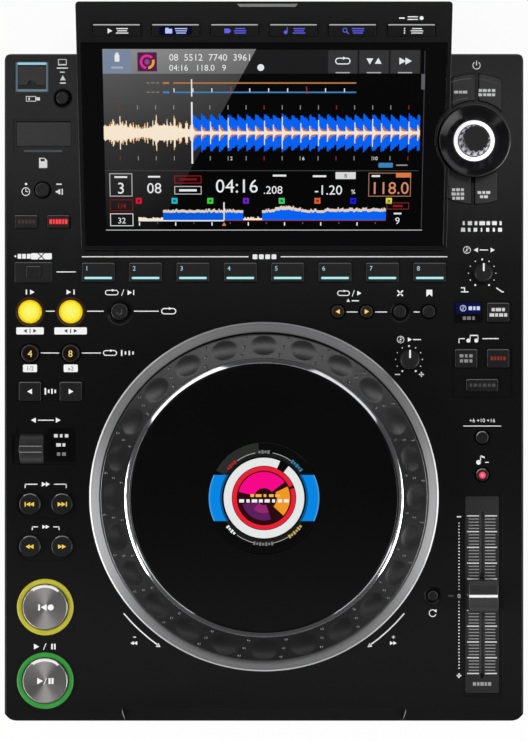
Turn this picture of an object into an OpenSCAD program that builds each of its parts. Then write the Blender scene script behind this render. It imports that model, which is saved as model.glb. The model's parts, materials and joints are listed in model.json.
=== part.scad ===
// Tabletop player for club use: a flat control panel with a large jog wheel, a row of
// pads and a long tempo slider, and a tilted touch display over its rear edge.
// +X is the right hand side, +Y the rear, +Z up. The origin is the centre of the footprint.

/* [Body] */
// Width of the body
body_w = 329; // [322:1:345]
// Height of the panel's top face above the table
panel_z = 66; // [64:0.5:74]
// Thickness of the top panel
panel_t = 3; // [2.6:0.2:3.6]
// Height of the joint between the bottom case and the upper shell
split_z = 30; // [26:1:33]
// Thickness of the side walls
wall = 2.5; // [2:0.1:3]
// Radius of the body's corners seen from above
corner_r = 4; // [2:0.5:6]
// Bevel along the side and rear edges of the panel
edge_bevel = 1.2; // [0.6:0.1:2]
// How far the front face leans back at its sides
front_lean = 10.2; // [8:0.2:11]
// How far the front face leans back in its middle
front_lean_mid = 13.5; // [12:0.5:14]
// Distance of the middle stretch of the front face from the body's sides
front_side = 74.5; // [56:0.5:90]
// How far the bottom case stands in from the upper shell
case_inset = 1.5; // [0.5:0.5:2]
// Thickness of the bottom case's floor
floor_t = 2; // [1.6:0.2:3]
// Height of the rubber feet
foot_h = 6; // [4.5:0.5:8]
// Radius of the rubber feet
foot_r = 11; // [8:0.5:14]
// Distance of a foot's centre from the body's side, front and rear
foot_inset = 32; // [28:1:45]

/* [Fits] */
// Gap round a button or key in its hole
key_gap = 0.4; // [0.3:0.05:0.5]
// Gap between a button's flange and the panel over it
seat_gap = 0.1; // [0.05:0.05:0.3]
// Thickness of a button's flange
flange_t = 1.5; // [1:0.1:2]
// How far a flange reaches past its button
flange_lip = 1; // [0.8:0.1:1.2]
// Radial clearance of shafts, pins and bearings
run_fit = 0.05; // [0.02:0.01:0.08]
// Gap between two parts that pass each other
pass_gap = 0.3; // [0.25:0.05:0.5]

/* [Screws] */
// Radius of a screw's shank
screw_r = 1.4; // [1.2:0.1:1.5]
// Radius of a screw's head
screw_head_r = 2.8; // [2.4:0.1:3.2]
// Height of a screw's head
screw_head_h = 2; // [1.5:0.1:2.2]
// Depth to which a screw bites
screw_bite = 9; // [6:0.5:9]
// Radius of the bosses that take the case screws
boss_r = 3.2; // [2.8:0.1:3.2]
// Distance of those bosses from the body's sides
boss_inset = 7.4; // [7.2:0.1:7.6]
// Distance of the front pair of bosses from the front lip
boss_front = 18.5; // [18:0.5:20]
// Distance of the middle pair of bosses from the front lip
boss_mid = 160; // [156:1:164]
// Distance of the rear pair of bosses from the body's rear face
boss_rear = 33; // [32.5:0.5:34.5]

/* [Display] */
// Distance of the display housing from the body's sides
display_side = 49.25; // [49:0.25:53.5]
// How far the display reaches past the body's rear face
display_overhang = 24.5; // [20:0.5:28]
// Distance from the body's rear face to the display's front edge
display_reach = 124.5; // [120:0.5:130]
// Distance from the pads' centre line to the display's front edge
display_gap = 14.1; // [12:0.1:18]
// Height of the display's front edge above the panel
display_rise = 6; // [6:0.2:9]
// Tilt of the display towards the player's front
display_tilt = 17.2; // [15:0.2:19]
// Height of the display's rear face
display_rear_h = 14; // [12:0.5:18]
// Distance of the display's neck from the body's rear face
neck_inset = 4; // [3:0.5:10]
// Height of the neck's rear face
neck_h = 18; // [12:1:20]
// Thickness of the display's back shell
shell_t = 2; // [1.6:0.1:2]
// Radius of the display's corners
display_corner_r = 2; // [1:0.5:3]
// Thickness of the display's bezel
bezel_t = 3; // [2.8:0.1:3]
// Thickness of the cover glass
glass_t = 1.7; // [1.4:0.1:1.7]
// How deep the glass lies below the bezel's rim
glass_sink = 0.1; // [0.05:0.05:0.2]
// Width of the bezel's rim beside the glass
bezel_rim = 2.6; // [2:0.2:4]
// Gap round the glass in its pocket
glass_gap = 0.2; // [0.1:0.05:0.3]
// Distance of the picture from the display housing's sides
screen_side = 15.75; // [14:0.25:20]
// Distance of the picture from the display's front edge
screen_front = 9.6; // [9.4:0.1:12]
// Distance of the picture from the rear edge of the glass
screen_rear = 6.6; // [6:0.1:12]
// Thickness of the display module
module_t = 3; // [2.4:0.1:3]
// How far the display module reaches past its picture
module_margin = 2.5; // [2:0.1:2.6]
// Depth of the key bar behind the glass
key_bar_d = 25.4; // [24:0.2:27]
// Gap between the keys along the display's rear edge
display_key_gap = 7.1; // [5:0.1:10]
// Depth of such a key
display_key_d = 7.5; // [6:0.1:9]
// Distance of the outer keys from the display housing's sides
display_key_side = 10.5; // [9:0.1:14]
// Number of such keys
display_keys_n = 6; // [4:1:6]
// Distance of their centre line from the display's rear edge
display_key_rear = 17.4; // [15:0.1:18]
// How far they stand out
display_key_proud = 1.2; // [0.8:0.1:1.6]

/* [Jog wheel] */
// Distance of the wheel's centre from the front lip
jog_y = 147.9; // [146:0.1:149]
// Distance of the satin ring round the wheel from the body's sides
jog_side = 54; // [53.5:0.5:58]
// Width of that ring seen from above
ring_band = 6.5; // [5.5:0.1:8]
// Height of that ring above the panel
ring_h = 4; // [2:0.5:5]
// Bevel on that ring's outer edge
ring_bevel = 1.2; // [0.6:0.1:1.6]
// Wall of that ring's skirt in the panel's hole
ring_skirt = 1.5; // [1:0.1:2]
// Gap between that ring and the dial
dial_gap = 1.2; // [1:0.1:2]
// Height of the dial's outer shoulder above the panel
dial_shoulder = 10.5; // [9:0.5:11]
// Width of the sloping band outside the dial's flat top
dial_slope_w = 3.4; // [2:0.2:5]
// Height of the dial's top above the panel
dial_h = 14; // [12.5:0.5:14.5]
// Width of the dial outside the silver trim ring
dial_band = 15.5; // [14.6:0.1:20]
// Width of the silver trim ring
trim_w = 2.9; // [2.4:0.1:4]
// Height of the trim ring's top above the panel
trim_h = 17.6; // [16:0.2:18]
// Height of the jog plate's top above the panel
plate_h = 18; // [17:0.2:19]
// Thickness of the jog plate
plate_t = 3.4; // [2.4:0.2:3.4]
// Gap between the jog plate and the rings inside and outside it
plate_gap = 0.4; // [0.3:0.05:0.6]
// Travel of the jog plate when it is pressed
plate_travel = 0.4; // [0.2:0.1:0.6]
// Radius of the still display in the wheel's centre
hub_window_r = 34.9; // [30:0.1:38]
// Number of finger dimples round the dial
dimples = 24; // [16:1:26]
// Radius of a dimple's rim
dimple_r = 6.4; // [5:0.1:6.8]
// Depth of a dimple
dimple_depth = 1.4; // [0.8:0.1:1.8]
// Radius of the wheel's fixed spindle
spindle_r = 12; // [10:0.5:13]
// Radius of the cable hole in the spindle
spindle_bore_r = 7; // [5:0.5:8]
// Radius of the spindle's foot
spindle_foot_r = 26; // [22:1:32]
// Outer radius of the wheel's bearing
bearing_r = 21; // [19:0.5:23]
// Height of the wheel's bearing
bearing_h = 10; // [8:0.5:10]

/* [Columns] */
// First button column, from the left edge
left_a = 16.2; // [15.6:0.1:16.6]
// Second button column, from the left edge
left_b = 42.1; // [41.6:0.1:42.4]
// Distance between the two round search buttons of a pair
search_pitch = 20.3; // [19:0.1:21]
// Centre line of the cue and play buttons, from the left edge
left_play = 25.9; // [25.6:0.1:26.5]
// Centre line of the right column, from the right edge
right_a = 26.2; // [26:0.1:27]

/* [Rows, from the front lip] */
// Play button
row_play = 31.2; // [31:0.1:32]
// Cue button
row_cue = 77.8; // [77:0.1:79]
// Search buttons
row_search = 116.2; // [115.6:0.1:117]
// Track search buttons
row_track = 143; // [142:0.1:143.6]
// Direction lever
row_lever = 178.1; // [177.6:0.1:178.6]
// Beat jump keys
row_jump = 214.4; // [213:0.1:215]
// Beat loop buttons
row_beat = 238.5; // [237.6:0.1:239.4]
// Loop, call and memory buttons
row_loop = 265; // [264.4:0.1:265.6]
// Pads and bank key
row_pads = 289.9; // [289:0.1:290.4]

/* [Rows, from the rear face] */
// Slip and quantize keys
rear_slip = 106.5; // [105:0.1:108]
// Time mode button
rear_time = 86.4; // [85.4:0.1:87.4]
// Memory card door
rear_card = 51.2; // [50.4:0.1:52]
// Frame of the memory card door
rear_card_frame = 52.6; // [52.3:0.1:52.9]
// Stick flap
rear_stick = 14.1; // [13.8:0.1:14.4]
// Frame of the stick flap
rear_stick_frame = 14.6; // [14.4:0.1:14.9]
// Stick stop button
rear_stop = 28.2; // [27.6:0.1:28.6]

/* [Keys and pads] */
// Radius of the cue and play buttons
play_r = 14.4; // [13.6:0.1:14.6]
// Inner radius of the light rings round them
light_in_r = 14.9; // [14.9:0.05:15.1]
// Outer radius of those light rings
light_r = 17.9; // [17:0.1:18]
// How far the light rings stand out
light_proud = 1.2; // [0.6:0.1:2]
// How far the cue and play buttons stand out
play_proud = 2.6; // [2:0.1:4]
// Travel of the cue and play buttons
play_travel = 1.5; // [1:0.1:2]
// Radius of the loop in and loop out buttons
loop_r = 7.4; // [6.6:0.1:7.8]
// Radius of the dish round those buttons
loop_dish_r = 9.3; // [9:0.1:9.8]
// Radius of the reloop button
reloop_r = 5.3; // [4.6:0.1:6]
// Radius of the dish round that button
reloop_dish_r = 8.9; // [8:0.1:9.4]
// Distance of the reloop button from the left edge
reloop_x = 72.9; // [72:0.1:74]
// Radius of the beat loop buttons
beat_r = 5.6; // [5:0.1:6]
// Radius of the search and track search buttons
search_r = 6.8; // [6:0.1:7]
// Width of the recess round a pair of search buttons
search_recess_w = 37.3; // [37:0.1:38.4]
// Depth of that recess from front to rear
search_recess_d = 18.9; // [18:0.1:19.4]
// Radius of the small buttons
small_r = 4; // [3.6:0.1:4.3]
// Radius of the time mode button
time_r = 4.6; // [4:0.1:5]
// Distance of the time mode button from the left edge
time_x = 24.2; // [23.6:0.1:25]
// Radius of the tempo reset button
reset_r = 3.2; // [2.8:0.1:3.8]
// Distance of the tempo reset button from the right edge
reset_x = 57.6; // [57:0.1:58.4]
// Distance of the stick stop button from the left edge
stop_x = 36.9; // [36:0.1:38]
// Distance of the first call button from the right edge
call_x = 117.7; // [117:0.1:118.4]
// Distance between the two call buttons
call_pitch = 18.2; // [17.6:0.1:18.6]
// Distance of the delete button from the right edge
delete_x = 78.4; // [77.6:0.1:79]
// Distance of the memory button from the right edge
memory_x = 60.1; // [59.4:0.1:61]
// How far buttons stand out
button_proud = 1.6; // [1:0.1:2.2]
// Travel of buttons and keys
button_travel = 1; // [0.6:0.1:1.2]
// Radius of a button's stem
stem_r = 1.5; // [1.2:0.1:1.6]
// Depth of the dishes and recesses in the panel
recess_depth = 0.8; // [0.5:0.1:1]
// How far keys stand out
key_proud = 1.2; // [0.8:0.1:1.6]
// Width of a pad
pad_w = 20.9; // [19:0.1:22]
// Depth of a pad
pad_d = 12.3; // [11:0.1:12.6]
// Distance of the outer pads' centres from the body's sides
pads_side = 59.5; // [58.4:0.1:64]
// Number of pads
pads_n = 8; // [6:1:8]
// Width of the bank key
bank_w = 24; // [22:0.2:24.4]
// Depth of the bank key
bank_d = 13.1; // [12:0.1:13.2]
// Distance of the bank key from the left edge
bank_x = 18.4; // [18.2:0.1:18.8]
// Width of the slip and quantize keys
slip_w = 14.5; // [13:0.1:15]
// Depth of those keys
slip_d = 8.5; // [8:0.1:10]
// Distance of the slip key from the left edge
slip_x = 13.8; // [13.4:0.1:14.2]
// Distance between the slip and quantize keys
slip_pitch = 20.5; // [20:0.1:21]
// Width of the beat jump, sync and master keys
square_w = 14.1; // [13:0.1:14.3]
// Depth of the beat jump keys
jump_d = 12.3; // [11:0.1:12.6]

/* [Right column] */
// Distance of the jog mode and sync keys from the column's centre line
pair_half = 10.15; // [9.9:0.05:10.4]
// Row of the jog mode key
row_mode = 264.6; // [264:0.1:265]
// Depth of the jog mode key
mode_d = 12.2; // [11:0.1:12.6]
// Width of the recess round the jog mode and sync keys
mode_recess_w = 38.4; // [38:0.1:39]
// Depth of the recess round the jog mode key
mode_recess_d = 14.6; // [14.4:0.1:15]
// Row of the sync and master keys
row_sync = 235.4; // [235:0.1:236.4]
// Depth of the sync and master keys
sync_d = 11.8; // [11:0.1:12.4]
// Row of the key sync key
row_key_sync = 218.4; // [218:0.1:219]
// Width of the key sync key
key_sync_w = 20.4; // [19:0.1:22]
// Depth of the key sync key
key_sync_d = 7.9; // [7:0.1:9]
// Row of the middle of the recess round the sync keys
row_sync_recess = 227.7; // [227.4:0.1:228]
// Depth of that recess from front to rear
sync_recess_d = 34.4; // [34:0.1:35]
// Row of the tempo range button
row_range = 185.3; // [184:0.1:186]
// Row of the master tempo button
row_master_tempo = 161.6; // [160.6:0.1:162.6]
// Row of the tempo reset button
row_reset = 85; // [84:0.1:86]
// Row of the speed knob
row_speed = 289.4; // [289:0.1:290]
// Radius of the speed knob
speed_r = 5.8; // [5:0.1:6.4]
// Row of the jog feel knob
row_feel = 234.7; // [234:0.1:235.4]
// Distance of the jog feel knob from the right edge
feel_x = 72.6; // [72:0.1:73.4]
// Radius of the jog feel knob
feel_r = 6.2; // [5.4:0.1:6.6]
// Height of the two knobs above the panel
knob_h = 10; // [7:0.5:13]
// Radius of the knobs' shafts
knob_shaft_r = 3; // [2.6:0.1:3.2]

/* [Browse selector] */
// Distance of the selector from the display's side
selector_x = 16.55; // [16:0.05:17]
// Distance of the selector from the body's rear face
selector_rear = 56.7; // [56:0.1:57.4]
// Outer radius of the selector's dish
dish_r = 22.8; // [21.8:0.1:23]
// Height of the dish's rim above the panel
dish_h = 18; // [12:0.5:20]
// Depth of the dish
dish_depth = 3; // [1.5:0.1:4]
// How far the foot of the dish's pedestal stands in from the rim
dish_foot_in = 2.8; // [2.6:0.1:3.4]
// Wall of the dish and of its pedestal
dish_t = 2; // [1.4:0.1:2.4]
// Gap between the dish and the round notch for it in the display's side
notch_gap = 1.4; // [1:0.1:2]
// Outer radius of the light ring in the dish
dish_light_r = 12.8; // [12:0.1:13.6]
// Radius of the selector knob
selector_r = 9.8; // [9:0.1:10.4]
// Height of the selector knob
selector_h = 13; // [10:0.5:16]
// Radius of the selector's shaft
selector_shaft_r = 3; // [2.5:0.1:3.4]
// Travel of the selector when it is pressed
selector_travel = 0.8; // [0.4:0.1:1]
// Distance of the middle of the four corner keys from the display's side
corners_x = 18.25; // [17.9:0.05:18.5]
// Distance of the middle of the four corner keys from the body's rear face
corners_rear = 54.1; // [53.6:0.1:54.6]
// Inner arc of the four corner keys
corner_in_r = 24.4; // [24.3:0.1:25]
// Outer arc of the four corner keys
corner_out_r = 41.2; // [39:0.1:42]
// Width of a corner key
corner_w = 14.3; // [13:0.1:14.8]
// Gap between the two corner keys of a pair
corner_gap = 2.6; // [2.4:0.1:3.2]
// Sideways shift of the rear pair to the right and the front pair to the left
corner_shift = 1.3; // [0:0.1:1.6]

/* [Tempo slider] */
// Row of the slider's middle
row_slider = 85.5; // [85:0.1:86]
// Travel of the slider each way from its middle
slider_travel = 50; // [40:0.5:50]
// Width of the recess round the slider's plate
slider_recess_w = 26; // [24:0.2:26.4]
// Depth of that recess from front to rear
slider_recess_d = 129; // [127:0.2:130]
// Width of the slider's plate
slider_plate_w = 21.4; // [20:0.2:22]
// Depth of the slider's plate from front to rear
slider_plate_d = 124.8; // [120:0.2:126]
// Thickness of the slider's plate
slider_plate_t = 1; // [0.8:0.1:1.2]
// Width of the slider's slot
slot_w = 2.4; // [2:0.1:3]
// Thickness of the slider's stem
slider_stem_t = 1.4; // [1:0.1:1.4]
// Width of the stem from front to rear
slider_stem_d = 6; // [4:0.5:8]
// Width of the slider's cap
slider_cap_w = 18.4; // [16:0.2:20]
// Depth of the slider's cap from front to rear
slider_cap_d = 19.6; // [16:0.2:22]
// Height of the slider's cap
slider_cap_h = 10; // [7:0.5:12]
// Width of the slider's rail unit
rail_w = 14; // [12:0.5:15]
// Height of the slider's rail unit
rail_h = 13; // [11:0.5:14]
// Wall of the slider's rail unit
rail_t = 1.2; // [1:0.1:1.6]

/* [Lever, flap and door] */
// Width of the plate round the direction lever
lever_plate_w = 39.5; // [38:0.1:40]
// Depth of that plate
lever_plate_d = 24.8; // [24:0.1:25.4]
// Row of that plate
row_lever_plate = 180.3; // [180:0.1:181]
// Distance of that plate's centre from the left edge
lever_plate_x = 27.2; // [27:0.1:27.6]
// Distance of the lever from the left edge
lever_x = 17.4; // [17.2:0.1:17.6]
// Width of the lever
lever_w = 15; // [13:0.1:15.4]
// Radius of the lever's drum
lever_r = 11; // [10:0.2:11]
// Depth of the lever's axle below the panel's top face
lever_axle_drop = 6.2; // [6:0.1:6.5]
// Radius of the lever's axle
lever_axle_r = 1.5; // [1.2:0.1:1.6]
// Height of the ridge on the lever's drum
lever_ridge = 3; // [2:0.2:4]
// Width of the stick port's frame
stick_frame_w = 22; // [21.4:0.2:22.4]
// Depth of the stick port's frame
stick_frame_d = 20.4; // [20:0.2:20.6]
// Distance of the stick port from the left edge
stick_x = 17.3; // [17.2:0.1:18]
// Width of the stick flap
stick_flap_w = 17.6; // [17:0.2:18]
// Depth of the stick flap
stick_flap_d = 12.4; // [12:0.2:12.6]
// Width of the card port's frame
card_frame_w = 38.5; // [38:0.1:39]
// Depth of the card port's frame
card_frame_d = 22.5; // [22:0.1:22.8]
// Distance of the card port from the left edge
card_x = 24.8; // [24.6:0.1:25]
// Width of the card door
card_door_w = 34.2; // [33:0.2:34.6]
// Depth of the card door
card_door_d = 15.4; // [14.6:0.2:15.6]
// Thickness of the flap and the door
door_t = 1.2; // [1:0.1:1.4]
// Radius of the pins of the flap and the door
door_pin_r = 0.6; // [0.5:0.05:0.7]
// Reach of those pins into the panel
door_pin_l = 1; // [0.8:0.1:1.2]

/* [Inside] */
// Depth of the button boards below the panel
board_drop = 13; // [12.6:0.1:13.6]
// Thickness of the circuit boards
board_t = 1.6; // [1.2:0.1:2]
// Height of a switch on a button board
switch_h = 3.5; // [3:0.1:3.8]
// Width of a switch
switch_w = 6; // [5:0.1:6]
// Distance of the main board from the left side
main_board_side = 29.5; // [24:0.5:36]
// Depth of the main board from front to rear
main_board_d = 100; // [90:1:106]
// Distance of the power supply from the right side
supply_side = 22.5; // [20:0.5:24]
// Width of the power supply
supply_w = 84; // [78:1:92]
// Depth of the power supply from front to rear
supply_d = 90; // [84:1:96]
// Gap between the main board and the power supply
supply_gap = 23; // [16:0.5:30]
// Distance of the main board and the power supply from the rear face
case_boards_rear = 26.5; // [25:0.5:28]
// Height of the posts under the main board and the power supply
post_h = 6; // [4:0.5:8]
// Thickness of the rear socket plate
rear_plate_t = 1.5; // [1.2:0.1:2]
// Height of the socket row above the table
socket_z = 47; // [46.6:0.1:47.4]
// Radius of a phono socket's sleeve
phono_r = 4.15; // [4.1:0.05:4.2]
// Length of a phono socket's sleeve
phono_l = 9; // [8:0.5:10]
// Distance of the first phono socket from the right edge
phono_x = 208; // [204:1:210]
// Distance between the phono sockets
phono_pitch = 18; // [17:0.5:20]
// Distance of the power button from the right edge
power_x = 29.8; // [28:0.2:31]
// Height of the power button above the table
power_z = 40.5; // [40.2:0.1:41]
// Radius of the power button
power_r = 5; // [4:0.1:5.4]
// Travel of the power button
power_travel = 1.5; // [1:0.1:1.6]

/* [Hidden] */
$fn = 96;
eps = 0.01;
cut = 1;

// Edges and levels of the body
body_d = row_pads + display_gap + display_reach;
front_y = -(body_d + display_overhang) / 2;
rear_y = front_y + body_d;
left = -body_w / 2;
right = body_w / 2;
front_mid_w = body_w - 2 * front_side;
panel_under = panel_z - panel_t;
floor_top = foot_h + floor_t;
board_z = panel_under - board_drop;
flange_top = panel_under - seat_gap;
flange_z = flange_top - flange_t;
switch_top = board_z + switch_h;
recess_z = panel_z - recess_depth;
jog_pos = [0, front_y + jog_y];

// Display frame: its origin is the middle of the front edge of the display's top face
display_w = body_w - 2 * display_side;
display_front_y = rear_y - display_reach;
display_front_z = panel_z + display_rise;
display_depth = display_reach + display_overhang;
display_len = display_depth / cos(display_tilt);
display_top_z = display_front_z + display_depth * tan(display_tilt);
display_rear_y = rear_y + display_overhang;
display_under_z = display_top_z - display_rear_h;
neck_y = rear_y - neck_inset;
neck_z = panel_z + neck_h;
glass_w = display_w - 2 * bezel_rim;
glass_d = display_len - key_bar_d - bezel_rim;
pocket_depth = glass_t + glass_sink;
screen_w = display_w - 2 * screen_side;
screen_d = bezel_rim + glass_d - screen_rear - screen_front;
display_keys_w = display_w - 2 * display_key_side;
display_key_w = (display_keys_w - (display_keys_n - 1) * display_key_gap) / display_keys_n;
display_key_pitch = display_key_w + display_key_gap;
controller_size = [120, 50, 6];
controller_shift = 22;
notch_rim = 1.2;
cable_hole_r = 8;
cable_hole_y = display_front_y + 62;
display_boss_h = 8;
display_boss_r = 4;
display_boss_side = 20.25;
display_bosses = [for (s = [-1, 1], y = [52, 104])
    [s * (display_w / 2 - display_boss_side), display_front_y + y]];

// Jog wheel radii and levels
ring_r = body_w / 2 - jog_side;
ring_in_r = ring_r - ring_band;
dial_r = ring_in_r - dial_gap;
trim_r = dial_r - dial_band;
trim_in_r = trim_r - trim_w;
dial_web_t = 3;
dial_web_z = panel_z;
dial_rim_t = 4;
dial_rim_z = panel_under - 1;
dial_top_z = panel_z + dial_h;
trim_seat_z = panel_z + dial_shoulder;
plate_top_z = panel_z + plate_h;
plate_z = plate_top_z - plate_t;
hub_wall = 6;
hub_z = dial_web_z + dial_web_t - bearing_h - 1;
plate_rib_t = 2;
plate_rib_r = (hub_window_r + trim_in_r) / 2;
jog_display_t = 9;
jog_display_z = plate_top_z - pass_gap - jog_display_t;
ring_hole_r = ring_in_r + ring_skirt;
dimple_ball_r = (dimple_r * dimple_r + dimple_depth * dimple_depth) / (2 * dimple_depth);
dimple_ring_r = (dial_r - dial_slope_w + trim_r) / 2;
spindle_foot_h = 4;

// Places of the controls on the panel
col_a = left + left_a;
col_b = left + left_b;
col_right = right - right_a;
play_pos = [left + left_play, front_y + row_play];
cue_pos = [left + left_play, front_y + row_cue];
search_pos = [for (i = [0, 1]) [col_a + i * search_pitch, front_y + row_search]];
track_pos = [for (p = search_pos) [p[0], front_y + row_track]];
pair_x = col_a + search_pitch / 2;
jump_pos = [for (x = [col_a, col_b]) [x, front_y + row_jump]];
beat_pos = [for (x = [col_a, col_b]) [x, front_y + row_beat]];
loop_in_pos = [col_a, front_y + row_loop];
loop_out_pos = [col_b, front_y + row_loop];
reloop_pos = [left + reloop_x, front_y + row_loop];
bank_pos = [left + bank_x, front_y + row_pads];
slip_pos = [for (i = [0, 1]) [left + slip_x + i * slip_pitch, rear_y - rear_slip]];
time_pos = [left + time_x, rear_y - rear_time];
stop_pos = [left + stop_x, rear_y - rear_stop];
pad_pitch = (body_w - 2 * pads_side) / (pads_n - 1);
pad_pos = [for (i = [0:pads_n - 1]) [(i - (pads_n - 1) / 2) * pad_pitch, front_y + row_pads]];
call_pos = [for (i = [0, 1]) [right - call_x + i * call_pitch, front_y + row_loop]];
delete_pos = [right - delete_x, front_y + row_loop];
memory_pos = [right - memory_x, front_y + row_loop];
feel_pos = [right - feel_x, front_y + row_feel];
speed_pos = [col_right, front_y + row_speed];
mode_pos = [col_right + pair_half, front_y + row_mode];
sync_pos = [col_right - pair_half, front_y + row_sync];
master_pos = [col_right + pair_half, front_y + row_sync];
key_sync_pos = [col_right, front_y + row_key_sync];
range_pos = [col_right, front_y + row_range];
master_tempo_pos = [col_right, front_y + row_master_tempo];
reset_pos = [right - reset_x, front_y + row_reset];
selector_pos = [display_w / 2 + selector_x, rear_y - selector_rear];
corners_pos = [display_w / 2 + corners_x, rear_y - corners_rear];
slider_pos = [col_right, front_y + row_slider];
lever_pos = [left + lever_x, front_y + row_lever];
lever_axle_z = panel_z - lever_axle_drop;
lever_bottom_drop = 5;
lever_cheek_t = 2.5;
stick_pos = [left + stick_x, rear_y - rear_stick];
card_pos = [left + card_x, rear_y - rear_card];
door_axis_z = panel_z - recess_depth - door_t / 2;
// Stick and card sockets: width, depth and height, and the same of their mouths
stick_socket = [15, 8, 22];
stick_mouth = [12.4, 4.8, 16];
stick_tongue = [11, 1.8, 10];
stick_tongue_shift = 1;
card_socket = [30, 9, 26];
card_mouth = [24.6, 2.6, 18];
stick_port = [13, 6];
card_port = [26, 6];
power_pos = [right - power_x, power_z];

// Top of the selector's shaft
selector_seat_z = panel_z + dish_h + 4;
// Seat of the light ring in the dish, above the panel
dish_seat_z = dish_h - dish_depth - 0.4;
// Foot of the cue and play buttons' light rings under the panel
light_foot_t = 1.5;
light_foot_lip = 1.2;

// Every round button: its place, its radius and the radius of the dish round it
round_buttons = concat(
    [for (p = search_pos) [p, search_r, 0]],
    [for (p = track_pos) [p, search_r, 0]],
    [for (p = beat_pos) [p, beat_r, beat_r + 1]],
    [[loop_in_pos, loop_r, loop_dish_r], [loop_out_pos, loop_r, loop_dish_r]],
    [[reloop_pos, reloop_r, reloop_dish_r], [time_pos, time_r, time_r + 1]],
    [[stop_pos, small_r, small_r + 2.4]],
    [for (p = call_pos) [p, small_r, small_r + 1]],
    [[delete_pos, small_r, small_r + 3], [memory_pos, small_r, small_r + 1]],
    [[range_pos, small_r, small_r + 1], [master_tempo_pos, small_r, small_r + 1]],
    [[reset_pos, reset_r, reset_r + 3.2]]);

// Every straight key: its place, its width and its depth
straight_keys = concat(
    [for (p = pad_pos) [p, pad_w, pad_d]],
    [for (p = jump_pos) [p, square_w, jump_d]],
    [for (p = slip_pos) [p, slip_w, slip_d]],
    [[bank_pos, bank_w, bank_d], [mode_pos, square_w, mode_d]],
    [[sync_pos, square_w, sync_d], [master_pos, square_w, sync_d]],
    [[key_sync_pos, key_sync_w, key_sync_d]]);

// The four corner keys: which side of the selector, and whether behind or in front of it
corner_signs = [for (s = [-1, 1], t = [-1, 1]) [s, t]];
function corner_x(s, t) = t * corner_shift + s * (corner_w + corner_gap) / 2;
function corner_stem(s, t) = corners_pos + [corner_x(s, t), t * (corner_in_r + corner_out_r) / 2];

switch_places = concat([for (b = round_buttons) b[0]], [for (k = straight_keys) k[0]],
    [for (c = corner_signs) corner_stem(c[0], c[1])], [play_pos, cue_pos, selector_pos]);
knob_places = [feel_pos, speed_pos];

// Circuit boards under the panel: left, front, right and rear edges of each
board_margin = 11;
board_rects = [
    [left + board_margin, row_play - 17.2 + front_y, left + 54.5, time_pos[1] + 9.9],
    [stop_pos[0] - 10.9, stop_pos[1] - 9, stop_pos[0] + 13.1, stop_pos[1] + 9],
    [left + 56.5, feel_pos[1] - 12.7, right - 52.5, pad_pos[0][1] + 12.1],
    [right - 48.5, master_tempo_pos[1] - 7.6, right - board_margin, rear_y - 16.5],
    [reset_pos[0] - 8.4, reset_pos[1] - board_margin, reset_pos[0] + 13.6, reset_pos[1] + 13]];
// Posts that hang the boards from the panel
board_posts = [[left + 50.5, play_pos[1] - 5.2], [left + 50.5, cue_pos[1] - 16.8],
    [left + 50.5, lever_pos[1] - 12.1], [left + 50.5, loop_in_pos[1] - 13],
    [left + 50.5, slip_pos[0][1] + 8], [stop_pos[0] + 9.1, stop_pos[1] + 5.7],
    [left + 60.5, loop_in_pos[1] + 11], [0, loop_in_pos[1] + 12], [right - 56, loop_in_pos[1] + 12],
    [right - 45.5, master_tempo_pos[1] - 3.6], [right - 45.5, speed_pos[1] - 8.4],
    [right - 45.5, rear_y - 107.5], [right - 45.5, rear_y - 54.5], [reset_pos[0] + 9.6, reset_pos[1] + 9]];
board_post_r = 2.2;

boss_places = [for (s = [-1, 1], y = [boss_front, boss_mid, body_d - boss_rear])
    [s * (body_w / 2 - boss_inset), front_y + y]];
foot_places = [for (s = [-1, 1], y = [front_y + foot_inset, rear_y - foot_inset])
    [s * (body_w / 2 - foot_inset), y]];

// Main board and power supply: centre, width and depth
main_board_w = body_w - main_board_side - supply_gap - supply_w - supply_side;
main_board_size = [main_board_w, main_board_d];
main_board_pos = [left + main_board_side + main_board_w / 2, rear_y - case_boards_rear - main_board_d / 2];
supply_size = [supply_w, supply_d];
supply_pos = [right - supply_side - supply_w / 2, rear_y - case_boards_rear - supply_d / 2];
// What stands on them: place from the board's centre, width, depth and height
main_board_parts = [[-30, 10, 36, 36, 8], [25, 15, 18, 18, 2.5],
    [main_board_w / 2 - 30, -20, 24, 30, 4], [25 - main_board_w / 2, -30, 20, 10, 9]];
supply_parts = [[-12, -10, 34, 28, 22], [22, 20, 14, 24, 14], [24, -18, 4, 36, 18]];
supply_can = [-10, 28, 8, 20];
board_post_inset = 6;
function post_places(pos, size) = [for (sx = [-1, 1], sy = [-1, 1])
    pos + [sx * (size[0] / 2 - board_post_inset), sy * (size[1] / 2 - board_post_inset)]];
case_posts = concat(post_places(main_board_pos, main_board_size),
    post_places(supply_pos, supply_size));
case_post_r = 3;
board_bed_z = floor_top + post_h;

// Rear sockets, seen along the rear wall: places from the right edge, widths and heights
window_margin = 14.5;
window_z = split_z + 4;
window_top = panel_under - 3;
inlet_x = right - 62;
inlet_w = 27;
inlet_h = 20;
inlet_l = 20;
net_x = right - 118;
net_w = 16;
net_h = 14;
net_l = 17;
data_x = right - 150;
data_w = 12;
data_h = 11;
data_l = 15;
phono_places = [for (i = [0:2]) right - phono_x - i * phono_pitch];
rear_plate_y = rear_y - wall - rear_plate_t;
rear_face_y = rear_y - wall;
rear_flange_t = 1.5;
phono_collar = 0.6;

black = [0.08, 0.08, 0.085];
key_black = [0.16, 0.16, 0.17];
board_green = [0.05, 0.3, 0.15];
steel = [0.7, 0.7, 0.72];

// ---------------------------------------------------------------- shapes

// One corner of a rounded rectangle, as points on an arc
function corner_arc(x, y, r, start, steps) =
    [for (i = [0:steps]) [x + r * cos(start + 90 * i / steps), y + r * sin(start + 90 * i / steps)]];

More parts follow.
